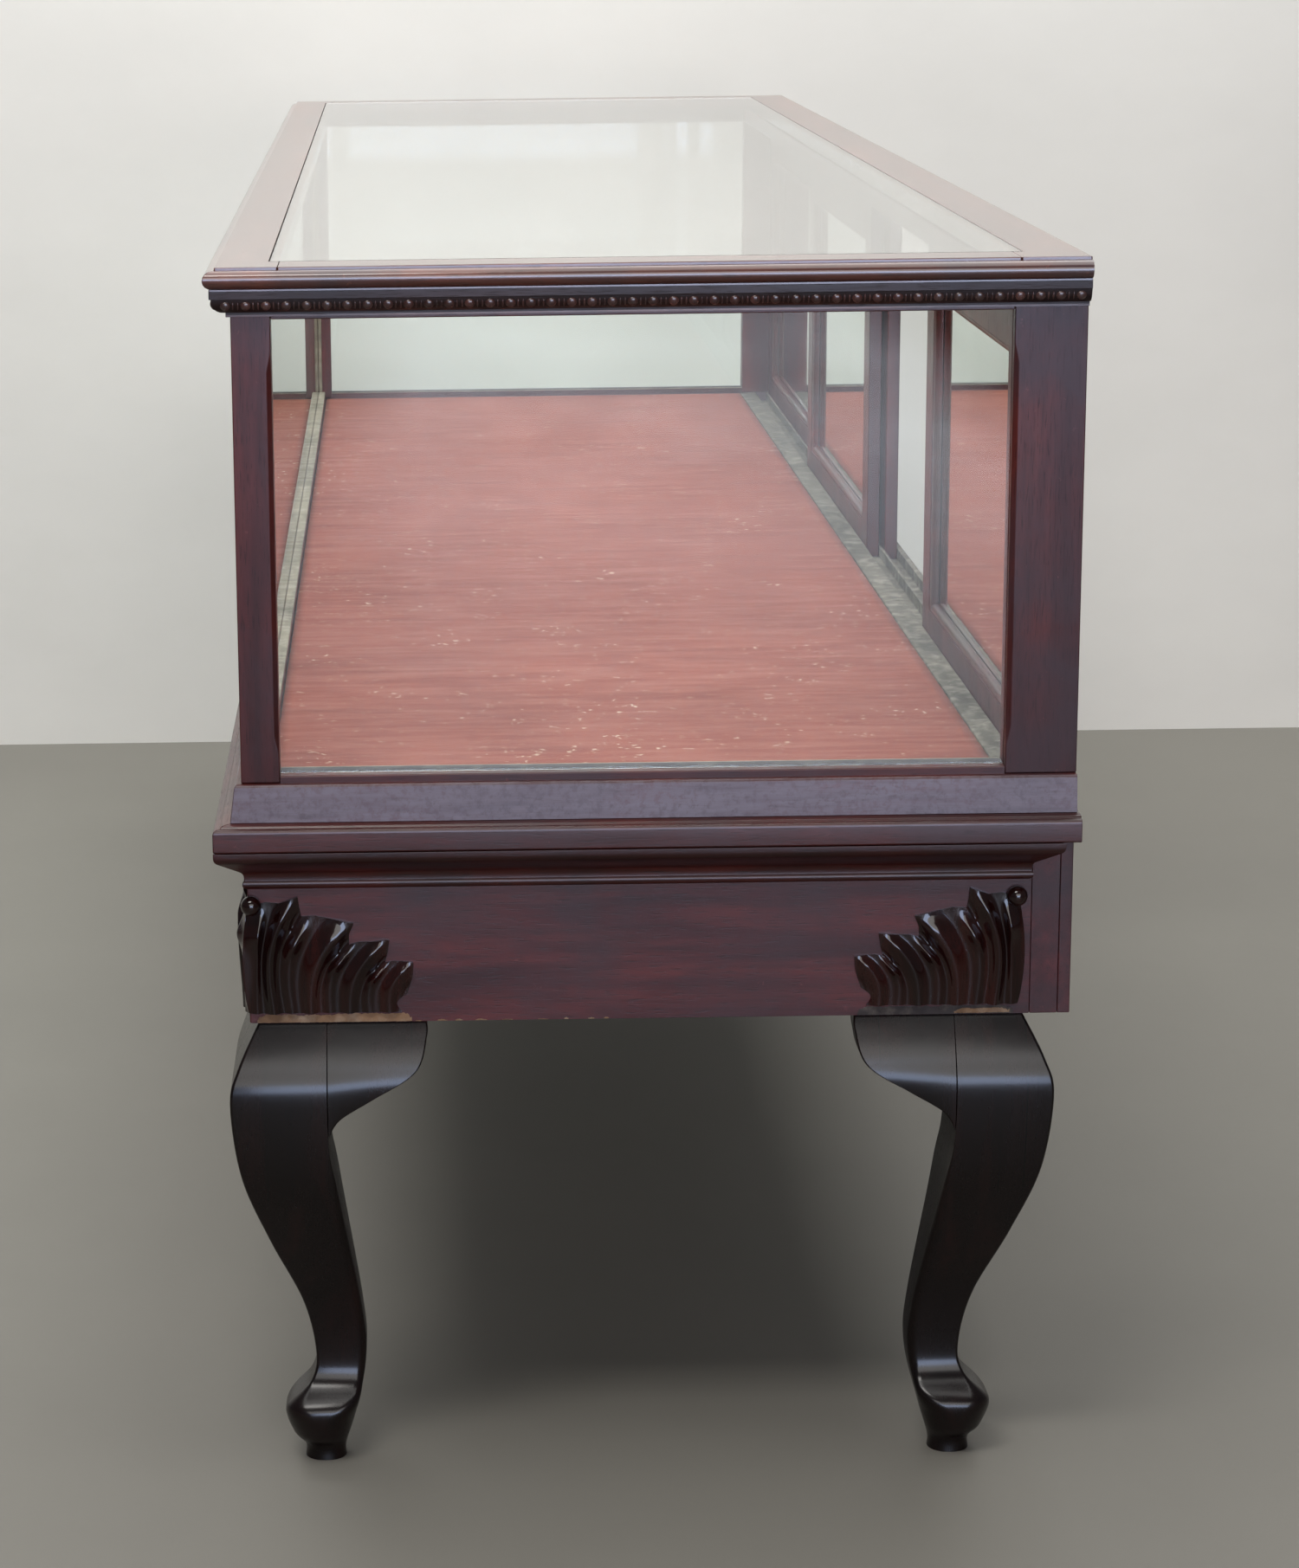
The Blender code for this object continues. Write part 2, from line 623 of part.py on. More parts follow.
box("head_rail_front", (-POST_INNER_X + GAP, POST_FRONT, GLASS_TOP),
    (POST_INNER_X - GAP, POST_FRONT + FRONT_POST_WIDTH, FRAME_BOTTOM - GAP), mahogany)
for end_name, end in ENDS:
    across = sorted((end * POST_END, end * POST_INNER_X))
    box(f"head_rail_{end_name}", (across[0], POST_FRONT + FRONT_POST_WIDTH + GAP, GLASS_TOP),
        (across[1], BACK_PLANE - BACK_POST_WIDTH - GAP, FRAME_BOTTOM - GAP), mahogany)

# Panes of the front and the ends
for side, (low, high) in PANE_PLANS.items():
    box(f"glass_{side}", (*low, GLASS_BOTTOM + GAP), (*high, GLASS_TOP - GAP), glass)

# Top frame: four rails rebated for a flush sheet of glass
frame_x = HALF_LENGTH - TOP_FRAME_INSET
frame_y = -HALF_WIDTH + TOP_FRAME_INSET
glass_x = frame_x - TOP_RAIL_END
glass_front = frame_y + TOP_RAIL_FRONT
glass_back = BACK_PLANE - TOP_RAIL_BACK
seat = cutter("top_glass_seat", (-glass_x, glass_front, HEIGHT - TOP_GLASS_THICK - GAP),
              (glass_x, glass_back, HEIGHT + CUTTER_MARGIN))
rails = [
    box("top_rail_front", (-frame_x, frame_y, FRAME_BOTTOM), (frame_x, glass_front + TOP_GLASS_SEAT, HEIGHT),
        mahogany),
    box("top_rail_back", (-frame_x, glass_back - TOP_GLASS_SEAT, FRAME_BOTTOM), (frame_x, BACK_PLANE, HEIGHT),
        mahogany),
]
for end_name, end in ENDS:
    across = sorted((end * frame_x, end * (glass_x - TOP_GLASS_SEAT)))
    rails.append(box(f"top_rail_{end_name}", (across[0], glass_front + TOP_GLASS_SEAT + GAP, FRAME_BOTTOM),
                     (across[1], glass_back - TOP_GLASS_SEAT - GAP, HEIGHT), mahogany))
for rail in rails:
    boolean(rail, seat)
box("glass_top", (-glass_x + TOP_GLASS_CLEAR, glass_front + TOP_GLASS_CLEAR, HEIGHT - TOP_GLASS_THICK),
    (glass_x - TOP_GLASS_CLEAR, glass_back - TOP_GLASS_CLEAR, HEIGHT), glass)
for_three_sides("top_moulding", top_moulding_section(), mahogany)

# Sliding doors
for door_name, (groove, right_edge) in DOORS.items():
    door(door_name, groove, right_edge, mahogany, mirror_glass)
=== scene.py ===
"""Looks of the long shop display case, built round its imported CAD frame.

Lengths are in metres, +Z up, +X along the case and -Y the glazed front. Carved, turned and soft
work is made here as new pieces; straight joinery keeps its CAD node and gets a finish.
"""
import math
import random

import bmesh
import bpy
import numpy as np
from mathutils import Matrix, Vector, noise


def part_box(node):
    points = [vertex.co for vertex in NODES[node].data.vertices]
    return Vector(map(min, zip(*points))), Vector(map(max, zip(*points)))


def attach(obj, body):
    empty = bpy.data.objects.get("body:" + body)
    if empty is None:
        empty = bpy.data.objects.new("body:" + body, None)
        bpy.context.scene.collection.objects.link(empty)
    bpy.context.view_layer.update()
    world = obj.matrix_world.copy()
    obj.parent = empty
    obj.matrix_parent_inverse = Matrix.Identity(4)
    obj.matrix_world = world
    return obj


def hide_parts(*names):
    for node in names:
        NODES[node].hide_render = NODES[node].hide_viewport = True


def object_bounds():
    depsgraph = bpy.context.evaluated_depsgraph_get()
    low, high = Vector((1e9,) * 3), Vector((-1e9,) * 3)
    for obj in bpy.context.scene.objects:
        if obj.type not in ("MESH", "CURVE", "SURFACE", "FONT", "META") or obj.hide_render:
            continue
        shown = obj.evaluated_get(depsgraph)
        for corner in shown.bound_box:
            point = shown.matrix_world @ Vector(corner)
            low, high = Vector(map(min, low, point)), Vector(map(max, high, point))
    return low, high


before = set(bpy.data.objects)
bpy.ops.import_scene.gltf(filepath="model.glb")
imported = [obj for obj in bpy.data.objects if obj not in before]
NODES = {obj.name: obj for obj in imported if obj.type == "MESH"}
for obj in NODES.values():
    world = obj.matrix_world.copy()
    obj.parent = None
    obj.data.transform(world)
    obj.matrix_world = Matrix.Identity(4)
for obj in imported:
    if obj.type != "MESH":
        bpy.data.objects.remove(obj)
CAD_LOW, CAD_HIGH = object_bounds()
DOORS = ("door_a", "door_b", "door_c", "door_d")
ENDS = (("left", -1), ("right", 1))

# Driving dimensions, repeated from the CAD or read from its nodes
HALF_LENGTH = CAD_HIGH.x
HALF_WIDTH = -CAD_LOW.y
APRON_LOW, APRON_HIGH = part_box("apron_right")
APRON_FACE_X = APRON_HIGH.x
APRON_FACE_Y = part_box("apron_front")[0].y
LEG_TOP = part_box("leg_front_right")[1].z
KNEE_FRONT = -HALF_WIDTH + 0.0080
KNEE_BACK = HALF_WIDTH - 0.0150
KNEE_END = HALF_LENGTH - 0.0080
LEG_BLOCK = 0.0780
WING_THICK = 0.0400
SEAM_HALF_WIDTH = 0.0006
SEAM_FOOT = 0.2400
GAP = 0.0003

# Leg outline, as (distance in from the knee, height) from the top down: outer side, inner side, knee wing
LEG_OUTER = [(0.0240, 0.3885), (0.0070, 0.3540), (0.0000, 0.3250), (0.0075, 0.2620), (0.0285, 0.2010),
             (0.0535, 0.1400), (0.0630, 0.0930), (0.0590, 0.0680), (0.0380, 0.0470), (0.0430, 0.0240),
             (0.0530, 0.0110), (0.0530, 0.0000)]
LEG_INNER = [(LEG_BLOCK, 0.3885), (LEG_BLOCK, 0.2940), (0.0850, 0.2450), (0.1020, 0.1300), (0.1045, 0.0850),
             (0.0960, 0.0420), (0.0870, 0.0110), (0.0870, 0.0000)]
WING_EDGE = [(0.1580, 0.3885), (0.1580, 0.3760), (0.1490, 0.3500), (0.1150, 0.3290), (0.0880, 0.3120),
             (LEG_BLOCK + GAP, 0.2965)]


# ---------------------------------------------------------------- small tools

def mesh_piece(name, work, body="root", finish=None, smooth=40.0):
    """Turn a bmesh into a named piece that rides on a body."""
    bmesh.ops.recalc_face_normals(work, faces=work.faces)
    mesh = bpy.data.meshes.new(name)
    work.to_mesh(mesh)
    work.free()
    mesh.shade_smooth()
    mesh.set_sharp_from_angle(angle=math.radians(smooth))
    piece = bpy.data.objects.new(name, mesh)
    bpy.context.scene.collection.objects.link(piece)
    if finish:
        mesh.materials.append(finish)
    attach(piece, body)
    return piece


def add_box(work, low, high):
    """Add a box between two corners to a bmesh."""
    low, high = Vector(low), Vector(high)
    size = Matrix.Diagonal((*(high - low), 1.0))
    bmesh.ops.create_cube(work, size=1.0, matrix=Matrix.Translation((low + high) / 2) @ size)


def round_edges(piece, width, angle=30.0):
    """Round the edges of a piece that are sharper than an angle in degrees."""
    edge = piece.modifiers.new("rounded_edges", "BEVEL")
    edge.width = width
    edge.segments = 2
    edge.limit_method = "ANGLE"
    edge.angle_limit = math.radians(angle)
    edge.harden_normals = False


def smoothstep(low, high, value):
    """0 at low and 1 at high, eased at both ends; low may be above high."""
    t = min(max((value - low) / (high - low), 0.0), 1.0)
    return t * t * (3 - 2 * t)


def smooth_line(points, steps=14):
    """A smooth line through points by Catmull-Rom, as a list of tuples."""
    knots = [Vector(p) for p in points]
    line = []
    for i in range(len(knots) - 1):
        before = knots[max(i - 1, 0)]
        a, b = knots[i], knots[i + 1]
        after = knots[min(i + 2, len(knots) - 1)]
        for j in range(steps):
            t = j / steps
            line.append(0.5 * ((2 * a) + (b - before) * t + (2 * before - 5 * a + 4 * b - after) * t ** 2
                               + (3 * a - before - 3 * b + after) * t ** 3))
    line.append(knots[-1])
    return line


def by_height(points):
    """A function of height that follows an outline given as (distance, height), top to bottom."""
    line = smooth_line(points)
    heights = np.array([p[1] for p in line])[::-1]
    spans = np.array([p[0] for p in line])[::-1]
    return lambda z: float(np.interp(z, heights, spans))


# ---------------------------------------------------------------- materials

class Graph:
    """One procedural material, with short calls for the nodes it is built from.

    place is the piece's own coordinates, which for every piece here are the shared frame in metres.
    """

    def __init__(self, name):
        self.material = bpy.data.materials.new(name)
        self.material.use_nodes = True
        self.tree = self.material.node_tree
        self.shader = self.tree.nodes["Principled BSDF"]
        self.place = self.tree.nodes.new("ShaderNodeTexCoord").outputs["Object"]

    def node(self, kind, **settings):
        made = self.tree.nodes.new("ShaderNode" + kind)
        for key, value in settings.items():
            setattr(made, key, value)
        return made

    def feed(self, socket, value):
        if isinstance(value, bpy.types.NodeSocket):
            self.tree.links.new(value, socket)
        elif isinstance(value, tuple) and len(value) == 3 and len(socket.default_value) == 4:
            socket.default_value = (*value, 1.0)
        else:
            socket.default_value = value

    def stretched(self, scale):
        """The coordinates, scaled by (x, y, z)."""
        mapping = self.node("Mapping")
        self.feed(mapping.inputs["Vector"], self.place)
        mapping.inputs["Scale"].default_value = scale
        return mapping.outputs["Vector"]

    def noise(self, vector, scale, detail=4.0, distortion=0.0, roughness=0.55):
        made = self.node("TexNoise")
        self.feed(made.inputs["Vector"], vector)
        made.inputs["Scale"].default_value = scale
        made.inputs["Detail"].default_value = detail
        made.inputs["Distortion"].default_value = distortion
        made.inputs["Roughness"].default_value = roughness
        return made.outputs["Fac"]

    def ramp(self, factor, stops):
        """A colour or grey level that follows factor through (position, value) stops."""
        made = self.node("ValToRGB")
        bar = made.color_ramp
        while len(bar.elements) < len(stops):
            bar.elements.new(0.5)
        for element, (position, colour) in zip(bar.elements, stops):
            element.position = position
            shade = colour if isinstance(colour, tuple) else (colour, colour, colour)
            element.color = (*shade, 1.0)
        self.feed(made.inputs["Fac"], factor)
        return made.outputs["Color"]

    def mix(self, factor, first, second, blend="MIX"):
        made = self.node("Mix", data_type="RGBA", blend_type=blend)
        self.feed(made.inputs[0], factor)
        self.feed(made.inputs[6], first)
        self.feed(made.inputs[7], second)
        return made.outputs[2]

    def math(self, operation, first, second=0.0):
        made = self.node("Math", operation=operation)
        self.feed(made.inputs[0], first)
        self.feed(made.inputs[1], second)
        return made.outputs[0]

    def axis(self, name):
        parts = self.node("SeparateXYZ")
        self.feed(parts.inputs[0], self.place)
        return parts.outputs[name]

    def bump(self, height, strength, distance, normal=None):
        made = self.node("Bump")
        made.inputs["Strength"].default_value = strength
        made.inputs["Distance"].default_value = distance
        self.feed(made.inputs["Height"], height)
        if normal:
            self.feed(made.inputs["Normal"], normal)
        return made.outputs["Normal"]

    def seam_mask(self, distances):
        """1 on thin upright lines at these distances in from the knees, on the upper blocks of the legs."""
        mask = 0.0
        for axis, knee in (("X", KNEE_END), ("Y", 0.5 * (KNEE_BACK - KNEE_FRONT))):
            reach = self.math("ABSOLUTE", self.axis(axis))
            for distance in distances:
                off = self.math("ABSOLUTE", self.math("SUBTRACT", reach, knee - distance))
                mask = self.math("ADD", mask, self.math("LESS_THAN", off, SEAM_HALF_WIDTH))
        return self.math("MULTIPLY", mask, self.math("GREATER_THAN", self.axis("Z"), SEAM_FOOT))

    def see_through(self, factor, front, back):
        """Finish the material as a mix of two shaders."""
        choose = self.node("MixShader")
        self.feed(choose.inputs["Fac"], factor)
        self.feed(choose.inputs[1], front)
        self.feed(choose.inputs[2], back)
        self.feed(self.tree.nodes["Material Output"].inputs["Surface"], choose.outputs[0])

    def set(self, **values):
        """Set or link inputs of the main shader, named in lower case with underscores."""
        for key, value in values.items():
            self.feed(self.shader.inputs[key.replace("_", " ").title().replace("Ior", "IOR")], value)


GRAIN = {"X": (1.0, 11.0, 11.0), "Y": (11.0, 1.0, 11.0), "Z": (11.0, 11.0, 1.0)}


def wood(name, grain, dark, mid, light, gloss=0.34, coat=0.30, coat_gloss=0.20, shine=0.22, worn=0.25,
         cloud=(0.038, 0.021, 0.027), painted_shade_band=None, seams=(), bloom_and_sheen=None):
    """Aged polished mahogany: figure along the grain, open pores, cloudy old varnish and fine scratches.

    painted_shade_band is an optional (low, high) height range painted nearly black as shade, with its coat
    taken off. seams are glue lines in the leg blocks, as distances in from the knee. bloom_and_sheen is an
    optional (colour, height) of whitened varnish and painted bluish sheen that stops, unevenly, at that
    height. cloud is the colour of the cloudy varnish patches, which on most finishes also paint part of a
    reflected sheen.
    that stops, unevenly, at that height.
    """
    g = Graph(name)
    along = GRAIN[grain]
    figure = g.noise(g.stretched(along), 2.4, detail=8.0, distortion=0.9)
    colour = g.ramp(figure, [(0.30, dark), (0.50, mid), (0.72, light)])
    streaks = g.noise(g.stretched(tuple(4 * v for v in along)), 3.2, detail=6.0, distortion=0.3)
    colour = g.mix(g.ramp(streaks, [(0.42, 0.0), (0.70, 0.55)]), colour, dark)
    pores = g.noise(g.stretched(tuple(8 * v if v > 1 else 6.0 for v in along)), 9.0, detail=3.0)
    pore_mask = g.ramp(pores, [(0.56, 0.0), (0.66, 1.0)])
    colour = g.mix(g.math("MULTIPLY", pore_mask, 0.55), colour, tuple(v * 0.35 for v in dark))
    # Cloudy varnish patches; their colour, purplish grey by default, also paints part of the sheen of
    # reflected daylight.
    clouds = g.noise(g.stretched((1.0, 1.0, 1.0)), 7.0, detail=5.0, distortion=0.4)
    colour = g.mix(g.ramp(clouds, [(0.46, 0.0), (0.66, 0.75)]), colour, cloud)
    rubbed = g.noise(g.stretched((1.0, 1.0, 1.0)), 95.0, detail=4.0, roughness=0.75)
    rub_mask = g.ramp(rubbed, [(0.66, 0.0), (0.74, worn)])
    colour = g.mix(rub_mask, colour, tuple(min(1.0, 1.8 * v + 0.03) for v in light))
    # Whitened varnish on the plinth, partly painted light: its bluish purple also stands for a sheen of
    # daylight reflected in the varnish.
    if bloom_and_sheen:
        haze = g.ramp(g.noise(g.stretched(tuple(3.0 * v for v in along)), 5.0, detail=8.0, roughness=0.70),
                      [(0.36, 0.45), (0.60, 1.0)])
        spots = g.ramp(g.noise(g.stretched((1.0, 1.0, 1.0)), 150.0, detail=3.0, roughness=0.75),
                       [(0.38, 0.45), (0.52, 1.0)])
        below = g.math("LESS_THAN", g.axis("Z"), bloom_and_sheen[1])
        colour = g.mix(g.math("MULTIPLY", below, g.math("MULTIPLY", haze, spots)), colour, bloom_and_sheen[0])
    # Painted shade: the band of the top moulding behind the egg and dart and down the fascia is painted
    # nearly black, and its coat is taken off there.
    if painted_shade_band:
        height = g.axis("Z")
        inside = g.math("MULTIPLY", g.math("GREATER_THAN", height, painted_shade_band[0]),
                        g.math("LESS_THAN", height, painted_shade_band[1]))
        colour = g.mix(g.math("MULTIPLY", inside, 0.85), colour, (0.008, 0.004, 0.004))
        coat = g.math("MULTIPLY", g.math("SUBTRACT", 1.0, inside), coat)
    if seams:
        colour = g.mix(g.seam_mask(seams), colour, (0.0015, 0.0010, 0.0010))
    rough = g.math("ADD", g.math("MULTIPLY", clouds, 0.22), gloss - 0.08)
    rough = g.math("ADD", rough, g.math("MULTIPLY", pore_mask, 0.10))
    grain_bump = g.bump(g.math("SUBTRACT", streaks, g.math("MULTIPLY", pore_mask, 0.5)), 0.22, 0.0004)
    waves = g.noise(g.stretched((1.0, 1.0, 1.0)), 26.0, detail=2.0)
    g.set(base_color=colour, roughness=rough, coat_weight=coat, coat_roughness=coat_gloss,
          specular_ior_level=shine, normal=g.bump(waves, 0.12, 0.0010, grain_bump))
    g.feed(g.shader.inputs["Coat Normal"], g.bump(waves, 0.16, 0.0010))
    return g.material


def raw_wood(name, grain, tone, dust=0.35):
    """Unfinished pale wood with dust lying on it."""
    g = Graph(name)
    along = GRAIN[grain]
    figure = g.noise(g.stretched(along), 3.5, detail=8.0, distortion=0.6)
    colour = g.ramp(figure, [(0.30, tuple(0.55 * v for v in tone)), (0.55, tone),
                             (0.75, tuple(min(1.0, 1.25 * v) for v in tone))])
    spots = g.noise(g.stretched((1.0, 1.0, 1.0)), 60.0, detail=5.0, roughness=0.7)
    colour = g.mix(g.ramp(spots, [(0.45, 0.0), (0.65, dust)]), colour, (0.50, 0.46, 0.40))
    stain = g.noise(g.stretched((1.0, 1.0, 1.0)), 14.0, detail=4.0)
    colour = g.mix(g.ramp(stain, [(0.55, 0.0), (0.72, 0.6)]), colour, tuple(0.40 * v for v in tone))
    g.set(base_color=colour, roughness=g.ramp(spots, [(0.3, 0.62), (0.7, 0.85)]), specular_ior_level=0.12,
          normal=g.bump(figure, 0.3, 0.0005, g.bump(spots, 0.25, 0.0003)))
    return g.material


def lining_cloth(name):
    """Terracotta lining cloth: crosswise weave, rubbed streaks and scattered dust."""
    g = Graph(name)
    wash = g.noise(g.stretched((1.0, 2.2, 1.0)), 3.0, detail=6.0, distortion=0.5)
    colour = g.ramp(wash, [(0.30, (0.170, 0.037, 0.022)), (0.52, (0.205, 0.048, 0.029)),
                           (0.75, (0.245, 0.064, 0.041))])
    streaks = g.noise(g.stretched((26.0, 3.0, 1.0)), 3.0, detail=7.0, roughness=0.75)
    colour = g.mix(g.ramp(streaks, [(0.42, 0.0), (0.66, 0.75)]), colour, (0.290, 0.112, 0.088))
    worn = g.noise(g.stretched((9.0, 2.0, 1.0)), 3.0, detail=7.0, roughness=0.7)
    colour = g.mix(g.ramp(worn, [(0.52, 0.0), (0.70, 0.55)]), colour, (0.135, 0.026, 0.016))
    weft = g.node("TexWave", wave_type="BANDS", bands_direction="X")
    g.feed(weft.inputs["Vector"], g.place)
    weft.inputs["Scale"].default_value = 260.0
    weft.inputs["Distortion"].default_value = 1.5
    weft.inputs["Detail"].default_value = 2.0
    colour = g.mix(g.math("MULTIPLY", weft.outputs["Fac"], 0.12), colour, (0.15, 0.036, 0.026))
    dust = g.noise(g.stretched((1.0, 1.0, 1.0)), 95.0, detail=2.0, roughness=0.8)
    patches = g.noise(g.stretched((1.0, 1.0, 1.0)), 9.0, detail=3.0)
    specks = g.math("MULTIPLY", g.ramp(dust, [(0.64, 0.0), (0.69, 1.0)]),
                    g.ramp(patches, [(0.38, 0.15), (0.66, 1.0)]))
    colour = g.mix(specks, colour, (0.46, 0.36, 0.28))
    nap = g.noise(g.stretched((1.0, 1.0, 1.0)), 480.0, detail=3.0)
    g.set(base_color=colour, roughness=0.85, specular_ior_level=0.12, sheen_weight=0.05,
          sheen_roughness=0.45, normal=g.bump(nap, 0.04, 0.0003, g.bump(weft.outputs["Fac"], 0.05, 0.0003)))
    return g.material


def clear_glass(name, tint):
    """Old clear plate glass: it lets lamp light through, and a little dust lies on it."""
    g = Graph(name)
    dust = g.noise(g.stretched((1.0, 1.0, 1.0)), 240.0, detail=3.0, roughness=0.8)
    g.set(base_color=g.mix(g.ramp(dust, [(0.70, 0.0), (0.76, 0.35)]), tint, (0.62, 0.62, 0.58)),
          roughness=0.0, ior=1.45, transmission_weight=1.0)
    clear = g.node("BsdfTransparent")
    g.feed(clear.inputs["Color"], tint)
    g.see_through(g.node("LightPath").outputs["Is Shadow Ray"], g.shader.outputs[0], clear.outputs[0])
    return g.material


def silvered(name):
    """Old mirror plate: silver with faint cloudy foxing."""
    g = Graph(name)
    fog = g.noise(g.stretched((1.0, 1.0, 1.0)), 6.0, detail=6.0, roughness=0.65)
    spots = g.noise(g.stretched((1.0, 1.0, 1.0)), 140.0, detail=3.0, roughness=0.7)
    colour = g.mix(g.ramp(fog, [(0.45, 0.0), (0.80, 0.35)]), (0.80, 0.82, 0.80), (0.52, 0.52, 0.48))
    colour = g.mix(g.ramp(spots, [(0.72, 0.0), (0.78, 0.5)]), colour, (0.20, 0.18, 0.15))
    g.set(base_color=colour, metallic=1.0, roughness=g.ramp(fog, [(0.4, 0.015), (0.8, 0.07)]))
    return g.material


def floor_paint(name, tone):
    """Plain matt paint with slow clouds."""
    g = Graph(name)
    cloud = g.noise(g.stretched((1.0, 1.0, 1.0)), 1.6, detail=6.0)
    fine = g.noise(g.stretched((1.0, 1.0, 1.0)), 60.0, detail=4.0)
    colour = g.ramp(cloud, [(0.35, tuple(0.93 * v for v in tone)), (0.65, tone)])
    g.set(base_color=colour, roughness=0.62, normal=g.bump(fine, 0.10, 0.0010))
    return g.material


def one_sided(name, tone):
    """A backdrop paint seen only from its front."""
    g = Graph(name)
    cloth = g.noise(g.stretched((1.0, 0.7, 1.2)), 2.0, detail=6.0)
    g.set(base_color=g.ramp(cloth, [(0.30, tuple(0.90 * v for v in tone)), (0.70, tone)]), roughness=0.9)
    clear = g.node("BsdfTransparent")
    g.see_through(g.node("NewGeometry").outputs["Backfacing"], g.shader.outputs[0], clear.outputs[0])
    return g.material


POLISH = dict(dark=(0.029, 0.0065, 0.0060), mid=(0.068, 0.0122, 0.0115), light=(0.115, 0.0230, 0.0195))
COVE = dict(dark=(0.014, 0.0026, 0.0023), mid=(0.042, 0.0062, 0.0052), light=(0.082, 0.0115, 0.0088))
RICH = dict(dark=(0.027, 0.0058, 0.0076), mid=(0.066, 0.0120, 0.0148), light=(0.122, 0.0230, 0.0235))
NOSING = dict(dark=(0.045, 0.0110, 0.0080), mid=(0.105, 0.0270, 0.0180), light=(0.180, 0.0520, 0.0330))
# Plinth colour: whitened varnish bloom, and partly a painted bluish purple sheen of reflected daylight.
BLOOM_AND_SHEEN = ((0.110, 0.078, 0.094), 0.5850)
EBONISED = dict(dark=(0.0024, 0.0010, 0.0010), mid=(0.0046, 0.0015, 0.0015), light=(0.0120, 0.0030, 0.0026))
CARVING = dict(dark=(0.0050, 0.0012, 0.0011), mid=(0.0150, 0.0024, 0.0021), light=(0.0350, 0.0054, 0.0044))
# Lighter mahogany for the carved eggs: it paints their lit crowns as a highlight against the dark ground.
STUDS_PAINTED_LIT = dict(dark=(0.020, 0.0070, 0.0065), mid=(0.060, 0.0210, 0.0190), light=(0.125, 0.0480, 0.0420))
# Heights of the painted shade on the top moulding: the ground behind the eggs and the fascia below it.
TOP_PAINTED_SHADE = (0.9532, 0.9722)
LEG_SEAMS = (0.0250, 0.0450, 0.1040, 0.1420)

WOOD_X = wood("mahogany_along", "X", **POLISH)
WOOD_Y = wood("mahogany_across", "Y", **POLISH)
COVE_X = wood("cove_along", "X", coat=0.2, cloud=(0.020, 0.009, 0.009), **COVE)
COVE_Y = wood("cove_across", "Y", coat=0.2, cloud=(0.020, 0.009, 0.009), **COVE)
WOOD_Z = wood("mahogany_upright", "Z", coat=0.18, shine=0.14, **POLISH)
APRON_X = wood("apron_front_veneer", "X", **RICH)
APRON_Y = wood("apron_end_veneer", "Y", **RICH)
NOSE_X = wood("top_moulding_along", "X", coat=1.0, coat_gloss=0.14, painted_shade_band=TOP_PAINTED_SHADE, **NOSING)
NOSE_Y = wood("top_moulding_across", "Y", coat=1.0, coat_gloss=0.14, painted_shade_band=TOP_PAINTED_SHADE, **NOSING)
# The top rails' pale pink cloud is partly varnish haze and partly a painted pinkish reflection of the
# bright backdrop seen at a grazing angle.
RAIL_X = wood("top_rail_along", "X", coat=0.9, coat_gloss=0.15, cloud=(0.110, 0.060, 0.055), **NOSING)
RAIL_Y = wood("top_rail_across", "Y", coat=0.9, coat_gloss=0.15, cloud=(0.110, 0.060, 0.055), **NOSING)
PLINTH_X = wood("plinth_bloom_and_painted_sheen_along", "X", gloss=0.34, coat=0.22, coat_gloss=0.26, shine=0.15,
                bloom_and_sheen=BLOOM_AND_SHEEN, **POLISH)
PLINTH_Y = wood("plinth_bloom_and_painted_sheen_across", "Y", gloss=0.34, coat=0.22, coat_gloss=0.26, shine=0.15,
                bloom_and_sheen=BLOOM_AND_SHEEN, **POLISH)
LEG_WOOD = wood("leg_mahogany", "Z", gloss=0.32, coat=0.50, coat_gloss=0.21, shine=0.05, worn=0.10,
                cloud=(0.005, 0.0024, 0.0026), seams=LEG_SEAMS, **EBONISED)
CARVED = wood("carved_mahogany", "Z", gloss=0.24, coat=0.7, coat_gloss=0.09, shine=0.05, worn=0.05,
              cloud=(0.008, 0.0030, 0.0028), **CARVING)
# Painted highlight: the eggs get a lighter copy of the mahogany for their lit crowns.
BAND_WOOD_PAINTED_LIT = wood("egg_band_painted_highlight_mahogany", "Z", gloss=0.32, coat=0.7, coat_gloss=0.18, worn=0.4,
                 cloud=(0.050, 0.0300, 0.0290), **STUDS_PAINTED_LIT)
RAW_X = raw_wood("raw_wood_along", "X", (0.215, 0.185, 0.145))
RAW_Y = raw_wood("raw_wood_across", "Y", (0.215, 0.185, 0.145))
RAW_Z = raw_wood("raw_wood_upright", "Z", (0.215, 0.185, 0.145))
DECK_WOOD = raw_wood("deck_wood", "X", (0.105, 0.092, 0.075))
CHIPPED = raw_wood("bare_chipped_wood", "Y", (0.265, 0.165, 0.100), dust=0.3)
STAINED = raw_wood("stained_chipped_wood", "Y", (0.052, 0.046, 0.050), dust=0.12)
PUTTY = raw_wood("dark_putty", "Y", (0.016, 0.013, 0.012), dust=0.05)
# The door moulding's pale grey cloud is partly dust and partly a painted highlight along its rounded edge.
STICK_WOOD = wood("door_moulding", "X", cloud=(0.050, 0.040, 0.034), **POLISH)
BACKING = raw_wood("backing_board", "Z", (0.115, 0.062, 0.034), dust=0.12)
CLOTH = lining_cloth("terracotta_lining")
GLASS = clear_glass("plate_glass", (0.93, 0.96, 0.94))
MIRROR = silvered("old_mirror")


# ---------------------------------------------------------------- finishes on the CAD nodes

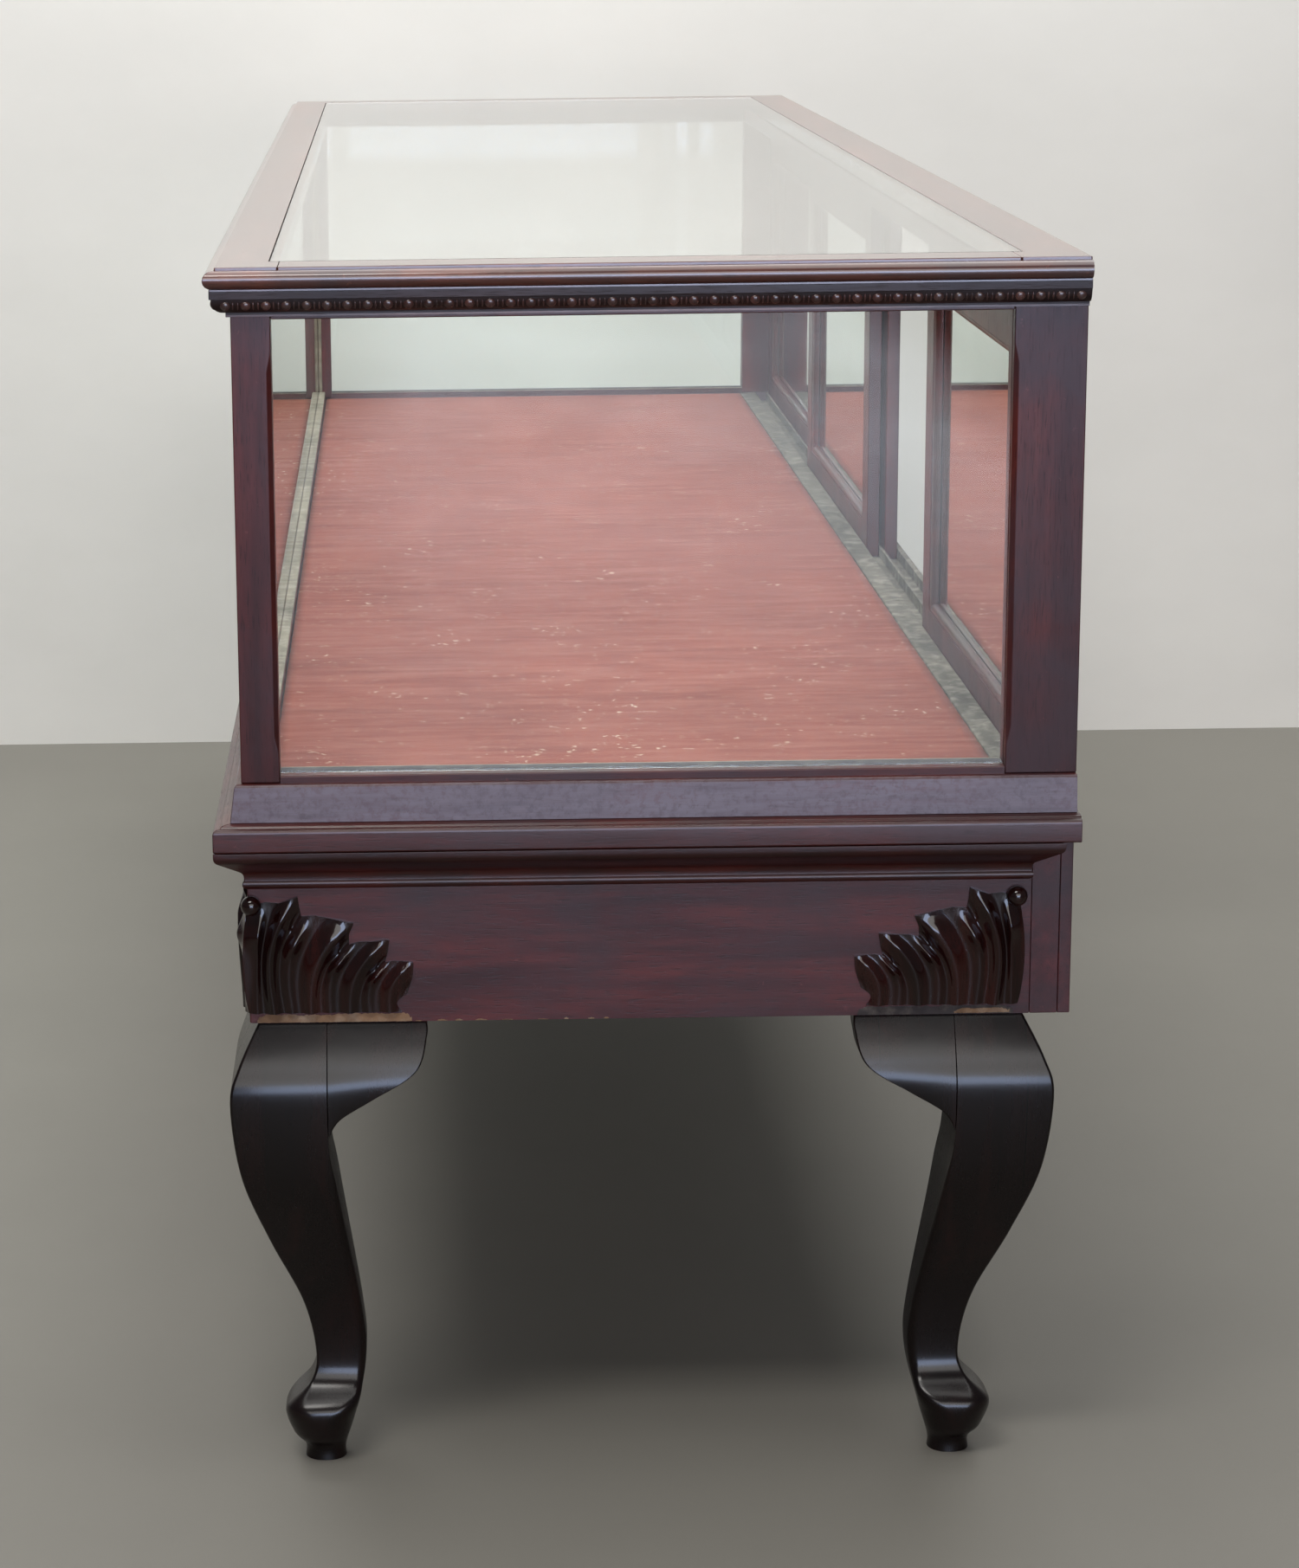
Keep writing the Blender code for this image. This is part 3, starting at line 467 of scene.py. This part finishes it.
def finish_for(name):
    """The material of a CAD node, from its name."""
    side = name.split("_")[-1]
    across = side in ("left", "right")
    if name.startswith("glass"):
        return GLASS
    if name.endswith("_pane"):
        return MIRROR
    if name.startswith(("leg", "knee", "leaf")):
        return LEG_WOOD
    if name in ("deck_board", "door_sill"):
        return DECK_WOOD
    if name.startswith("post") or (name.startswith("door_") and name.endswith("_frame")):
        return WOOD_Z
    if name.startswith("cove"):
        return COVE_Y if across else COVE_X
    if name.startswith("apron"):
        return APRON_Y if across else APRON_X
    if name.startswith("top_moulding"):
        return NOSE_Y if across else NOSE_X
    if name.startswith("top_rail"):
        return RAIL_Y if across else RAIL_X
    if name.startswith("plinth"):
        return PLINTH_Y if across else PLINTH_X
    return WOOD_Y if across else WOOD_X


def finish_nodes():
    """Give every CAD node its material and slightly rounded edges."""
    for name, node in NODES.items():
        node.data.materials.clear()
        node.data.materials.append(finish_for(name))
        node.data.shade_smooth()
        weld = node.modifiers.new("weld", "WELD")
        weld.merge_threshold = 0.00001
        if "pane" in name or name.startswith("glass"):
            width = 0.0004
        elif name.startswith(("top_moulding", "cove", "ledge", "plinth")):
            width = 0.0005
        else:
            width = 0.0009
        round_edges(node, width, angle=28.0)
        normals = node.modifiers.new("flat_faces", "WEIGHTED_NORMAL")
        normals.keep_sharp = True


# ---------------------------------------------------------------- legs

def rounded_square(near, far, radii, steps=6):
    """A closed outline round [near, far] squared; radii are for the outer, side, inner and side corners."""
    corners = [((near, near), 180), ((far, near), 270), ((far, far), 0), ((near, far), 90)]
    points = []
    for (corner, start), radius in zip(corners, radii):
        radius = min(radius, 0.49 * (far - near))
        centre = (corner[0] + (radius if corner[0] == near else -radius),
                  corner[1] + (radius if corner[1] == near else -radius))
        for i in range(steps + 1):
            angle = math.radians(start + 90 * i / steps)
            points.append((centre[0] + radius * math.cos(angle), centre[1] + radius * math.sin(angle)))
    return points


def loft(work, rings, place):
    """Skin closed rings of (x, y, z) and cap both ends."""
    rows = [[work.verts.new(place(*point)) for point in ring] for ring in rings]
    count = len(rows[0])
    for lower, upper in zip(rows, rows[1:]):
        for i in range(count):
            j = (i + 1) % count
            work.faces.new((lower[i], lower[j], upper[j], upper[i]))
    work.faces.new(rows[0])
    work.faces.new(rows[-1])


def leg_piece(end, front):
    """A sawn cabriole leg with its two knee wings, its arrises eased and its foot rounded."""
    end_name = "right" if end > 0 else "left"
    front_name = "front" if front < 0 else "back"
    knee_x = end * KNEE_END
    knee_y = KNEE_FRONT if front < 0 else KNEE_BACK
    outer, inner, wing = by_height(LEG_OUTER), by_height(LEG_INNER), by_height(WING_EDGE)

    def place(x, y, z):
        return knee_x - end * x, knee_y - front * y, z

    work = bmesh.new()
    rings = []
    for i in range(151):
        z = LEG_TOP * i / 150
        foot = 1.0 - smoothstep(0.034, 0.074, z)
        shank = 0.0075 * (1.0 - smoothstep(0.200, 0.2960, z)) + 0.0003
        near, far = outer(z), inner(z)
        pad = 0.46 * (far - near) * foot
        ease = 0.0016 * smoothstep(LEG_TOP, LEG_TOP - 0.004, z) + 0.0008
        inside = max(shank, pad)
        outline = rounded_square(near, far, (max(ease, pad), inside, inside, inside))
        rings.append([(x, y, z) for x, y in outline])
    loft(work, rings, place)
    for swap in (False, True):
        rings = []
        for i in range(81):
            z = LEG_TOP - (LEG_TOP - 0.2968) * (1 - i / 80)
            low, high, depth = LEG_BLOCK + GAP, wing(z), outer(z)
            high = max(high, low + 0.0004)
            ease = min(0.0018, 0.45 * (high - low))
            ring = [(low, depth, z), (low, WING_THICK, z), (high, WING_THICK, z)]
            for k in range(6):
                angle = math.radians(90 * k / 5)
                ring.append((high - ease + ease * math.cos(angle),
                             depth + ease - ease * math.sin(angle), z))
            rings.append([(y, x, z) if swap else (x, y, z) for x, y, z in ring])
        loft(work, rings, place)
    where = f"{front_name}_{end_name}"
    piece = mesh_piece(f"cabriole_leg_{where}", work, "root", LEG_WOOD, 38.0)
    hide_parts(f"leg_{where}", f"knee_wing_end_{where}", f"knee_wing_side_{where}")


# ---------------------------------------------------------------- carved leaves

LEAF_FOOT = 0.3975
# The leaf's top edge by lobe: (lobe coordinate, distance from the corner, height); a lobe ends in a tip
LEAF_EDGE = [
    (0.00, 0.0010, 0.4800), (0.10, 0.0075, 0.4870), (0.25, 0.0140, 0.4890), (0.50, 0.0250, 0.4880),
    (0.72, 0.0360, 0.4920), (0.80, 0.0400, 0.4935), (0.88, 0.0408, 0.4860), (1.00, 0.0425, 0.4770),
    (1.25, 0.0530, 0.4775), (1.50, 0.0650, 0.4750), (1.74, 0.0805, 0.4715), (1.80, 0.0840, 0.4712),
    (1.88, 0.0800, 0.4620), (2.00, 0.0800, 0.4535), (2.25, 0.0880, 0.4555), (2.50, 0.0975, 0.4555),
    (2.74, 0.1095, 0.4570), (2.80, 0.1120, 0.4568), (2.88, 0.1105, 0.4470), (3.00, 0.1085, 0.4385),
    (3.30, 0.1150, 0.4395), (3.66, 0.1275, 0.4388), (3.76, 0.1310, 0.4380), (3.86, 0.1300, 0.4260),
    (4.00, 0.1255, 0.4120),
]
LOBES = 4
LEAF_BACK_SHIFT = 0.0052
BALL_PROUD = 0.0038
BALL_INSET = 0.0030
BALL_HEIGHT = 0.4866
BALL_RADIUS = 0.0081


def bell(value, centre, width):
    """1 at centre, falling smoothly to nothing over a few widths."""
    return math.exp(-((value - centre) / width) ** 2)


def leaf_relief(q, t):
    """Height of the carving above the board: each lobe has a curling ridge, a scoop and a small ridge."""
    lobe = min(int(q), LOBES - 1)
    f = q - lobe
    size = 1.0 - 0.12 * lobe
    grow = 0.62 + 0.38 * smoothstep(0.0, 0.75, t)
    ridge = 0.0076 * bell(f, 0.70, 0.17)
    small = 0.0040 * bell(f, 0.20, 0.14) * (1.0 - 0.6 * smoothstep(0.72, 1.0, t))
    bulb = 0.0042 * bell(f, 0.15, 0.13) * bell(t, 0.70, 0.11)
    pit = 0.0040 * bell(f, 0.98, 0.05) * bell(t, 0.94, 0.08)
    curl = 1.0 - 0.60 * smoothstep(0.80, 1.0, t)
    return max(0.0014 + size * (grow * (ridge + small) * curl + bulb) - pit, 0.0006)


def leaf_grid(wraps):
    """Rows of (distance, height off the board, z) over the leaf, from its foot to its top edge."""
    table = np.array(LEAF_EDGE)
    columns = 4 * 44
    rows = 46
    grid = []
    for j in range(rows + 1):
        t = j / rows
        row = []
        for i in range(columns + 1):
            q = LOBES * i / columns
            top = [float(np.interp(q, table[:, 0], table[:, k])) for k in (1, 2)]
            foot = 0.0015 + 0.1195 * (q / LOBES) ** 1.08
            sweep = 0.0105 * math.sin(math.pi * t ** 1.15) * smoothstep(0.0, 0.8, q) * (1 - 0.12 * q)
            s = foot + (top[0] - foot) * t ** 1.25 - sweep
            z = LEAF_FOOT + (top[1] - LEAF_FOOT) * t
            h = leaf_relief(q, t)
            roll = 0.0004 + 0.0043 * math.sin(math.pi * min(t, 0.98)) ** 0.8
            near = 1.0 - smoothstep(0.0, 0.16, q)
            edge_h = roll if wraps else 0.0006
            h = h * (1 - near) + edge_h * near
            s = s * (1 - near) + (-roll if wraps else 0.0010 - 1.15 * roll) * near
            row.append((s, h, z))
        grid.append(row)
    return grid


def add_leaf(work, wraps, place):
    """Add one leaf face with its back and rim; where it wraps the corner, that edge is left open."""
    grid = leaf_grid(wraps)
    face = [[work.verts.new(place(*point)) for point in row] for row in grid]
    back = [[work.verts.new(place(s if s > 0 or not wraps else 0.0, 0.0, z)) for s, _, z in row]
            for row in grid]
    rows, columns = len(grid), len(grid[0])
    for j in range(rows - 1):
        for i in range(columns - 1):
            work.faces.new((face[j][i], face[j][i + 1], face[j + 1][i + 1], face[j + 1][i]))
            work.faces.new((back[j][i], back[j + 1][i], back[j + 1][i + 1], back[j][i + 1]))
    rim = [(0, i) for i in range(columns)] + [(j, columns - 1) for j in range(1, rows)]
    rim += [(rows - 1, i) for i in range(columns - 2, -1, -1)]
    if not wraps:
        rim += [(j, 0) for j in range(rows - 2, 0, -1)]
    for (j, i), (k, m) in zip(rim, rim[1:] + (rim[:1] if not wraps else [])):
        work.faces.new((face[j][i], back[j][i], back[k][m], face[k][m]))


def leaf_piece(end, front):
    """A carved leaf over a leg, with a ball at its corner; at the front it turns the apron's corner."""
    end_name = "right" if end > 0 else "left"
    front_name = "front" if front < 0 else "back"
    face_x = end * APRON_FACE_X
    face_y = APRON_FACE_Y if front < 0 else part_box("leaf_mount_back_right")[1].y - LEAF_BACK_SHIFT
    work = bmesh.new()
    add_leaf(work, front < 0, lambda s, h, z: (face_x + end * h, face_y - front * s, z))
    if front < 0:
        add_leaf(work, True, lambda s, h, z: (face_x - end * s, face_y + front * h, z))
    bmesh.ops.remove_doubles(work, verts=work.verts, dist=0.00004)
    ball = Vector((face_x + end * BALL_PROUD, face_y - front * BALL_INSET, BALL_HEIGHT))
    bmesh.ops.create_uvsphere(work, u_segments=28, v_segments=18, radius=BALL_RADIUS,
                              matrix=Matrix.Translation(ball))
    piece = mesh_piece(f"carved_leaf_{front_name}_{end_name}", work, "root", CARVED, 50.0)
    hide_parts(f"leaf_mount_{front_name}_{end_name}")


# ---------------------------------------------------------------- egg and dart

# The band follows the quarter round under the top moulding; its arc centre is as in the CAD section
BAND_PITCH = 0.0155
BAND_START = 0.0195
OVOLO = 0.0095
OVOLO_INSET = 0.0025 + 0.0047 + 0.0015 + OVOLO
OVOLO_HEIGHT = 0.9900 - 0.0240 - 0.0015


def add_egg(work, centre, wide, tall, proud, taper, place, rings=7, segments=12):
    """One carved boss on the ovolo; centre is along the run, and the shape tapers downwards."""
    rows = []
    for j in range(rings + 1):
        lift = math.cos(0.5 * math.pi * j / rings)
        spread = math.sin(0.5 * math.pi * j / rings)
        row = []
        for i in range(segments):
            angle = 2 * math.pi * i / segments
            v = -spread * math.sin(angle)
            u = spread * math.cos(angle) * (1.0 - taper * max(v, 0.0) ** 1.4)
            spot = place(centre + 0.5 * wide * u, 0.5 * tall * v, proud * lift - GAP)
            row.append(work.verts.new(spot))
        rows.append(row)
    for lower, upper in zip(rows[1:], rows[2:]):
        for i in range(segments):
            k = (i + 1) % segments
            work.faces.new((lower[i], lower[k], upper[k], upper[i]))
    apex = rows[0][0]
    for spare in rows[0][1:]:
        work.verts.remove(spare)
    for i in range(segments):
        work.faces.new((apex, rows[1][i], rows[1][(i + 1) % segments]))
    work.faces.new(rows[-1])


def egg_band(side):
    """The row of eggs and darts under one side's top moulding."""
    sign = {"front": 0, "left": -1, "right": 1}[side]
    span = HALF_LENGTH if side == "front" else HALF_WIDTH
    middle = math.radians(206)

    def place(along, down, proud):
        angle = middle + down / OVOLO
        reach = OVOLO + proud
        inset = OVOLO_INSET + reach * math.cos(angle)
        z = OVOLO_HEIGHT + reach * math.sin(angle)
        if side == "front":
            return along, -HALF_WIDTH + inset, z
        return sign * (HALF_LENGTH - inset), along, z

    work = bmesh.new()
    start = -span + BAND_START
    last = span - (BAND_START if side == "front" else 0.0100)
    count = round((last - start) / BAND_PITCH)
    pitch = (last - start) / count
    for i in range(count + 1):
        add_egg(work, start + i * pitch, 0.0082, 0.0084, 0.0020, 0.50, place)
        if i < count:
            for shift in (-0.0019, 0.0019):
                add_egg(work, start + (i + 0.5) * pitch + shift, 0.0016, 0.0082, 0.0010, 0.60, place,
                        rings=4, segments=8)
    mesh_piece(f"egg_and_dart_{side}", work, "root", BAND_WOOD_PAINTED_LIT, 60.0)


# ---------------------------------------------------------------- cloth, beads, liners and boards

def deck_cloth():
    """The cloth laid on the deck, with slight waves and a fine thickness."""
    low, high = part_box("deck_lining")
    columns, rows = 240, 60
    work = bmesh.new()
    sheet = []
    for j in range(rows + 1):
        line = []
        for i in range(columns + 1):
            x = low.x + (high.x - low.x) * i / columns
            y = low.y + (high.y - low.y) * j / rows
            edge = min(i, columns - i, j, rows - j)
            wave = 0.00035 * noise.noise(Vector((x * 5.0, y * 7.0, 3.1)))
            fray = 0.0006 * noise.noise(Vector((x * 60.0, y * 60.0, 9.0))) if edge == 0 else 0.0
            line.append(work.verts.new((x + fray * (i in (0, columns)), y + fray * (j in (0, rows)),
                                        high.z - 0.0007 + (wave if edge else 0.0))))
        sheet.append(line)
    for j in range(rows):
        for i in range(columns):
            work.faces.new((sheet[j][i], sheet[j][i + 1], sheet[j + 1][i + 1], sheet[j + 1][i]))
    piece = mesh_piece("deck_cloth", work, "root", CLOTH)
    thick = piece.modifiers.new("thickness", "SOLIDIFY")
    thick.thickness = 0.0006
    thick.offset = -1.0
    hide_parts("deck_lining")


def strip(name, low, high, body, finish, ease=0.0006):
    """A thin strip of wood with eased edges."""
    work = bmesh.new()
    add_box(work, low, high)
    round_edges(mesh_piece(name, work, body, finish), ease)


def glazing_beads():
    """Pale beads that hold the upright panes from inside, along the rails and up the posts."""
    pane_low, pane_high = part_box("glass_front")
    rail_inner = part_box("plinth_front")[1].y
    post_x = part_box("post_front_right")[0].x
    head_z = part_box("head_rail_front")[0].z
    foot_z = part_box("plinth_right")[1].z
    tall = 0.0024
    strip("front_bead_lower", (-post_x, pane_high.y + GAP, foot_z + 0.0001),
          (post_x, rail_inner - GAP, foot_z + tall), "root", RAW_X)
    strip("front_bead_upper", (-post_x, pane_high.y + GAP, head_z - tall),
          (post_x, rail_inner - GAP, head_z - 0.0001), "root", RAW_X)
    for end_name, end in ENDS:
        post = sorted((end * post_x, end * (post_x - tall)))
        strip(f"front_bead_{end_name}", (post[0], pane_high.y + GAP, foot_z + tall + GAP),
              (post[1], pane_high.y + 0.0048, head_z - tall - GAP), "root", RAW_Z)


def end_beads():
    """A dark bead behind each end pane, with a thin pale edge towards the lining."""
    front_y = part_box("post_front_right")[1].y + GAP
    back_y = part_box("post_back_right")[0].y - GAP
    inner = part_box("plinth_right")[0].x + 0.0001
    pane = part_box("glass_right")[0].x - GAP
    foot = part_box("plinth_right")[1].z + 0.0001
    for end_name, end in ENDS:
        dark = sorted((end * (inner + 0.0013), end * pane))
        pale = sorted((end * inner, end * (inner + 0.0012)))
        strip(f"end_bead_{end_name}", (dark[0], front_y, foot), (dark[1], back_y, foot + 0.0006), "root",
              STAINED, ease=0.0001)
        strip(f"end_bead_edge_{end_name}", (pale[0], front_y, foot), (pale[1], back_y, foot + 0.0008),
              "root", RAW_Y, ease=0.0001)


# Section of the moulding round a door's window, as (distance into the window, depth from the front face)
STICKING = [(0.0000, 0.0006), (0.0012, 0.0006), (0.0034, 0.0014), (0.0052, 0.0032), (0.0062, 0.0056),
            (0.0064, 0.0080), (0.0000, 0.0080)]


def top_putty():
    """A dark putty line in the joint between the top glass and its rails."""
    low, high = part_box("glass_top")
    depth, wide = 0.0040, 0.0008
    top = high.z - 0.0002
    strip("top_putty_front", (low.x, low.y - wide, top - depth), (high.x, low.y - 0.0001, top), "root",
          PUTTY, ease=0.0001)
    strip("top_putty_back", (low.x, high.y + 0.0001, top - depth), (high.x, high.y + wide, top), "root",
          PUTTY, ease=0.0001)
    for end_name, end in ENDS:
        edge = high.x if end > 0 else low.x
        across = sorted((edge + end * 0.0001, edge + end * wide))
        strip(f"top_putty_{end_name}", (across[0], low.y - wide, top - depth),
              (across[1], high.y + wide, top), "root", PUTTY, ease=0.0001)


def door_trim(door):
    """The moulding round a door's window, and the board that backs its mirror."""
    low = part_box(f"{door}_frame")[0]
    pane_low, pane_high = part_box(f"{door}_pane")
    reveal = 0.0050 + GAP
    work = bmesh.new()
    rings = []
    for inwards, depth in STICKING:
        left, right = pane_low.x + reveal + inwards, pane_high.x - reveal - inwards
        foot, head = pane_low.z + reveal + inwards, pane_high.z - reveal - inwards
        y = low.y + depth
        corners = ((left, y, foot), (right, y, foot), (right, y, head), (left, y, head))
        rings.append([work.verts.new(c) for c in corners])
    for first, second in zip(rings, rings[1:] + rings[:1]):
        for i in range(4):
            j = (i + 1) % 4
            work.faces.new((first[i], first[j], second[j], second[i]))
    mesh_piece(f"{door}_sticking", work, door, STICK_WOOD, 32.0)
    strip(f"{door}_backing", (pane_low.x, pane_high.y + GAP, pane_low.z),
          (pane_high.x, pane_high.y + 0.0012, pane_high.z), door, BACKING)


def bare_edge(name, along, fixed, low_z, high_z, axis, outwards, seed, finish):
    """A strip along the apron's foot where the polish is gone, with a ragged outline.

    It runs along axis between the two values of along, at fixed on the other axis, and faces outwards.
    """
    chance = random.Random(seed)
    start, stop = along
    steps = max(8, int(abs(stop - start) / 0.0012))
    work = bmesh.new()
    rows = []
    ragged = 0.0
    for i in range(steps + 1):
        a = start + (stop - start) * i / steps
        ragged = 0.72 * ragged + 0.28 * chance.uniform(-1.0, 1.0)
        end_drop = max(0.0, 1.0 - min(i, steps - i) / 5.0) * chance.uniform(0.3, 1.0)
        top = high_z + (high_z - low_z) * (0.22 * ragged - 0.10 * chance.random() - 0.75 * end_drop)
        foot = low_z + 0.0004 * chance.random()
        top = max(top, foot + 0.0003)
        ring = []
        for depth, z in ((-0.0002, foot), (0.0003, foot), (0.0003, top), (-0.0002, top)):
            off = fixed + outwards * depth
            ring.append(work.verts.new((off, a, z) if axis == "Y" else (a, off, z)))
        rows.append(ring)
    for first, second in zip(rows, rows[1:]):
        for k in range(4):
            m = (k + 1) % 4
            work.faces.new((first[k], first[m], second[m], second[k]))
    work.faces.new(rows[0])
    work.faces.new(rows[-1])
    mesh_piece(name, work, "root", finish, 60.0)


def bare_edges():
    """Bare strips over each leg, and small chips along the apron's foot between them."""
    foot = APRON_LOW.z
    low, high = foot + 0.0002, foot + 0.0074
    back_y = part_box("leaf_mount_back_right")[1].y
    for end_name, end in ENDS:
        face = end * APRON_FACE_X
        bare_edge(f"bare_edge_front_{end_name}", (APRON_FACE_Y + 0.0060, APRON_FACE_Y + 0.1290), face,
                  low, high, "Y", end, 12 + end, CHIPPED)
        bare_edge(f"stained_edge_back_{end_name}", (back_y - 0.1330, back_y - 0.0090), face,
                  low, high, "Y", end, 22 + end, STAINED)
        bare_edge(f"bare_patch_back_{end_name}", (back_y - 0.0560, back_y - 0.0120), face + end * 0.0002,
                  low + 0.0008, high - 0.0022, "Y", end, 32 + end, CHIPPED)
        span = sorted((end * (APRON_FACE_X - 0.0060), end * (APRON_FACE_X - 0.1290)))
        bare_edge(f"bare_edge_side_{end_name}", span, APRON_FACE_Y, low, high, "X", -1, 42 + end, CHIPPED)
        chance = random.Random(40 + end)
        for i in range(10):
            y = APRON_FACE_Y + 0.1320 + 0.0130 * i + 0.0050 * i * chance.random()
            bare_edge(f"chip_{end_name}_{i}", (y, y + chance.uniform(0.003, 0.011)), face, low,
                      low + chance.uniform(0.0008, 0.0022), "Y", end, 60 + 20 * end + i, CHIPPED)


# ---------------------------------------------------------------- stage, lights and camera

FLOOR_REACH = 14.0
BACKDROP_X = -1.620
BACKDROP_REACH = 4.0
BACKDROP_TOP = 2.4
DAYLIT_LOW = (2.8, -0.45)
DAYLIT_HIGH = (13.0, 1.40)
DAYLIT_Z = 0.002


def stage_sheet(name, finish, corners):
    """A flat sheet of the stage, which isn't part of the object."""
    work = bmesh.new()
    work.faces.new([work.verts.new(c) for c in corners])
    mesh = bpy.data.meshes.new(name)
    work.to_mesh(mesh)
    work.free()
    mesh.materials.append(finish)
    sheet = bpy.data.objects.new(name, mesh)
    bpy.context.scene.collection.objects.link(sheet)
    return sheet


def stage():
    """A plain pale floor, and a plain backdrop past the far end of the case."""
    reach, x = FLOOR_REACH, BACKDROP_X
    stage_sheet("floor", floor_paint("floor_paint", (0.200, 0.191, 0.167)),
                [(-reach, -reach, 0.0), (reach, -reach, 0.0), (reach, reach, 0.0), (-reach, reach, 0.0)])
    drop = stage_sheet("backdrop", one_sided("backdrop_paint", (0.80, 0.80, 0.77)),
                       [(x, -BACKDROP_REACH, 0.0), (x, BACKDROP_REACH, 0.0),
                        (x, BACKDROP_REACH, BACKDROP_TOP), (x, -BACKDROP_REACH, BACKDROP_TOP)])
    drop.visible_shadow = False


def daylit_floor():
    """A patch of floor behind the camera that daylight falls on, mottled and fading at its edges."""
    g = Graph("daylit_floor_glow")
    glow = g.noise(g.stretched((1.0, 1.6, 1.0)), 0.9, detail=5.0)
    glow = g.ramp(glow, [(0.30, 0.55), (0.70, 1.0)])
    sides = (("X", DAYLIT_LOW[0], DAYLIT_HIGH[0], 5.2), ("Y", DAYLIT_LOW[1], DAYLIT_HIGH[1], 0.30))
    for axis, low, high, fade in sides:
        for edge, sign in ((low, 1.0), (high, -1.0)):
            into = g.math("MULTIPLY", g.math("SUBTRACT", g.axis(axis), edge), sign / fade)
            glow = g.math("MULTIPLY", glow, g.ramp(into, [(0.0, 0.0), (1.0, 1.0)]))
    emitter = g.node("Emission")
    g.feed(emitter.inputs["Color"], (0.84, 0.88, 1.0))
    emitter.inputs["Strength"].default_value = 3.7
    upper_side = g.math("SUBTRACT", 1.0, g.node("NewGeometry").outputs["Backfacing"])
    clear = g.node("BsdfTransparent")
    g.see_through(g.math("MULTIPLY", glow, upper_side), clear.outputs[0], emitter.outputs[0])
    (low_x, low_y), (high_x, high_y) = DAYLIT_LOW, DAYLIT_HIGH
    patch = stage_sheet("daylit_floor", g.material, [(low_x, low_y, DAYLIT_Z), (high_x, low_y, DAYLIT_Z),
                                                     (high_x, high_y, DAYLIT_Z), (low_x, high_y, DAYLIT_Z)])
    patch.visible_camera = False
    patch.visible_shadow = False


def area_light(name, place, turn, size, power, colour, diffuse=True, gloss=True):
    """A soft rectangular lamp; turned by nothing it points straight down, size is along its own X and Y.

    diffuse and gloss say whether it lights surfaces, and whether it shows in their shine.
    """
    lamp = bpy.data.lights.new(name, "AREA")
    lamp.shape = "RECTANGLE"
    lamp.size, lamp.size_y = size
    lamp.energy = power
    lamp.color = colour
    holder = bpy.data.objects.new(name, lamp)
    holder.location = place
    holder.rotation_euler = [math.radians(v) for v in turn]
    holder.visible_camera = False
    holder.visible_diffuse = diffuse
    holder.visible_glossy = gloss
    bpy.context.scene.collection.objects.link(holder)


def lights():
    """Overhead light for the case, daylight from low behind the camera, and a wash on the backdrop."""
    world = bpy.data.worlds.new("studio")
    bpy.context.scene.world = world
    world.use_nodes = True
    sky = world.node_tree.nodes["Background"]
    sky.inputs["Color"].default_value = (0.90, 0.94, 1.0, 1.0)
    sky.inputs["Strength"].default_value = 0.14
    area_light("overhead", (0.3, -0.1, 3.4), (0, 0, 0), (4.2, 3.4), 130.0, (1.0, 0.99, 0.97))
    area_light("horizon", (8.0, 0.8, 1.35), (0, 90, 0), (2.1, 4.0), 310.0, (0.60, 0.72, 1.0), diffuse=False)
    area_light("front_fill", (8.0, 0.8, 1.35), (0, 90, 0), (2.1, 4.0), 150.0, (1.0, 0.86, 0.84),
               gloss=False)
    area_light("skylight", (2.7, -0.9, 3.3), (0, 20, 0), (0.6, 1.5), 46.0, (1.0, 0.97, 0.93))
    area_light("doorway", (7.4, 0.6, 3.40), (0, 78, 0), (2.4, 6.0), 190.0, (1.0, 0.97, 0.93), diffuse=False)
    area_light("backdrop_wash", (-0.80, -0.3, 3.0), (0, 24, 0), (0.5, 3.4), 33.0, (0.97, 0.99, 1.0))
    bpy.context.scene.view_settings.view_transform = "Standard"


def camera():
    """A long lens looking along the case from its right-hand end, a little from above."""
    pitch, roll = math.radians(13.0655), math.radians(0.7708)
    data = bpy.data.cameras.new("camera")
    data.sensor_width = 36.0
    data.lens = 87.68
    data.shift_x = 0.1516
    holder = bpy.data.objects.new("camera", data)
    sp, cp, sr, cr = math.sin(pitch), math.cos(pitch), math.sin(roll), math.cos(roll)
    right = Vector((sp * sr, cr, -cp * sr))
    up = Vector((-sp * cr, sr, cp * cr))
    back = Vector((cp, 0.0, sp))
    turn = Matrix((right, up, back)).transposed().to_4x4()
    holder.matrix_world = Matrix.Translation((4.1196, -0.1836, 1.2613)) @ turn
    bpy.context.scene.collection.objects.link(holder)
    bpy.context.scene.camera = holder


camera()
lights()
stage()
daylit_floor()
finish_nodes()
for _, end_sign in ENDS:
    for front_sign in (-1, 1):
        leg_piece(end_sign, front_sign)
        leaf_piece(end_sign, front_sign)
for band_side in ("front", "left", "right"):
    egg_band(band_side)
deck_cloth()
glazing_beads()
end_beads()
top_putty()
for each in DOORS:
    door_trim(each)
bare_edges()
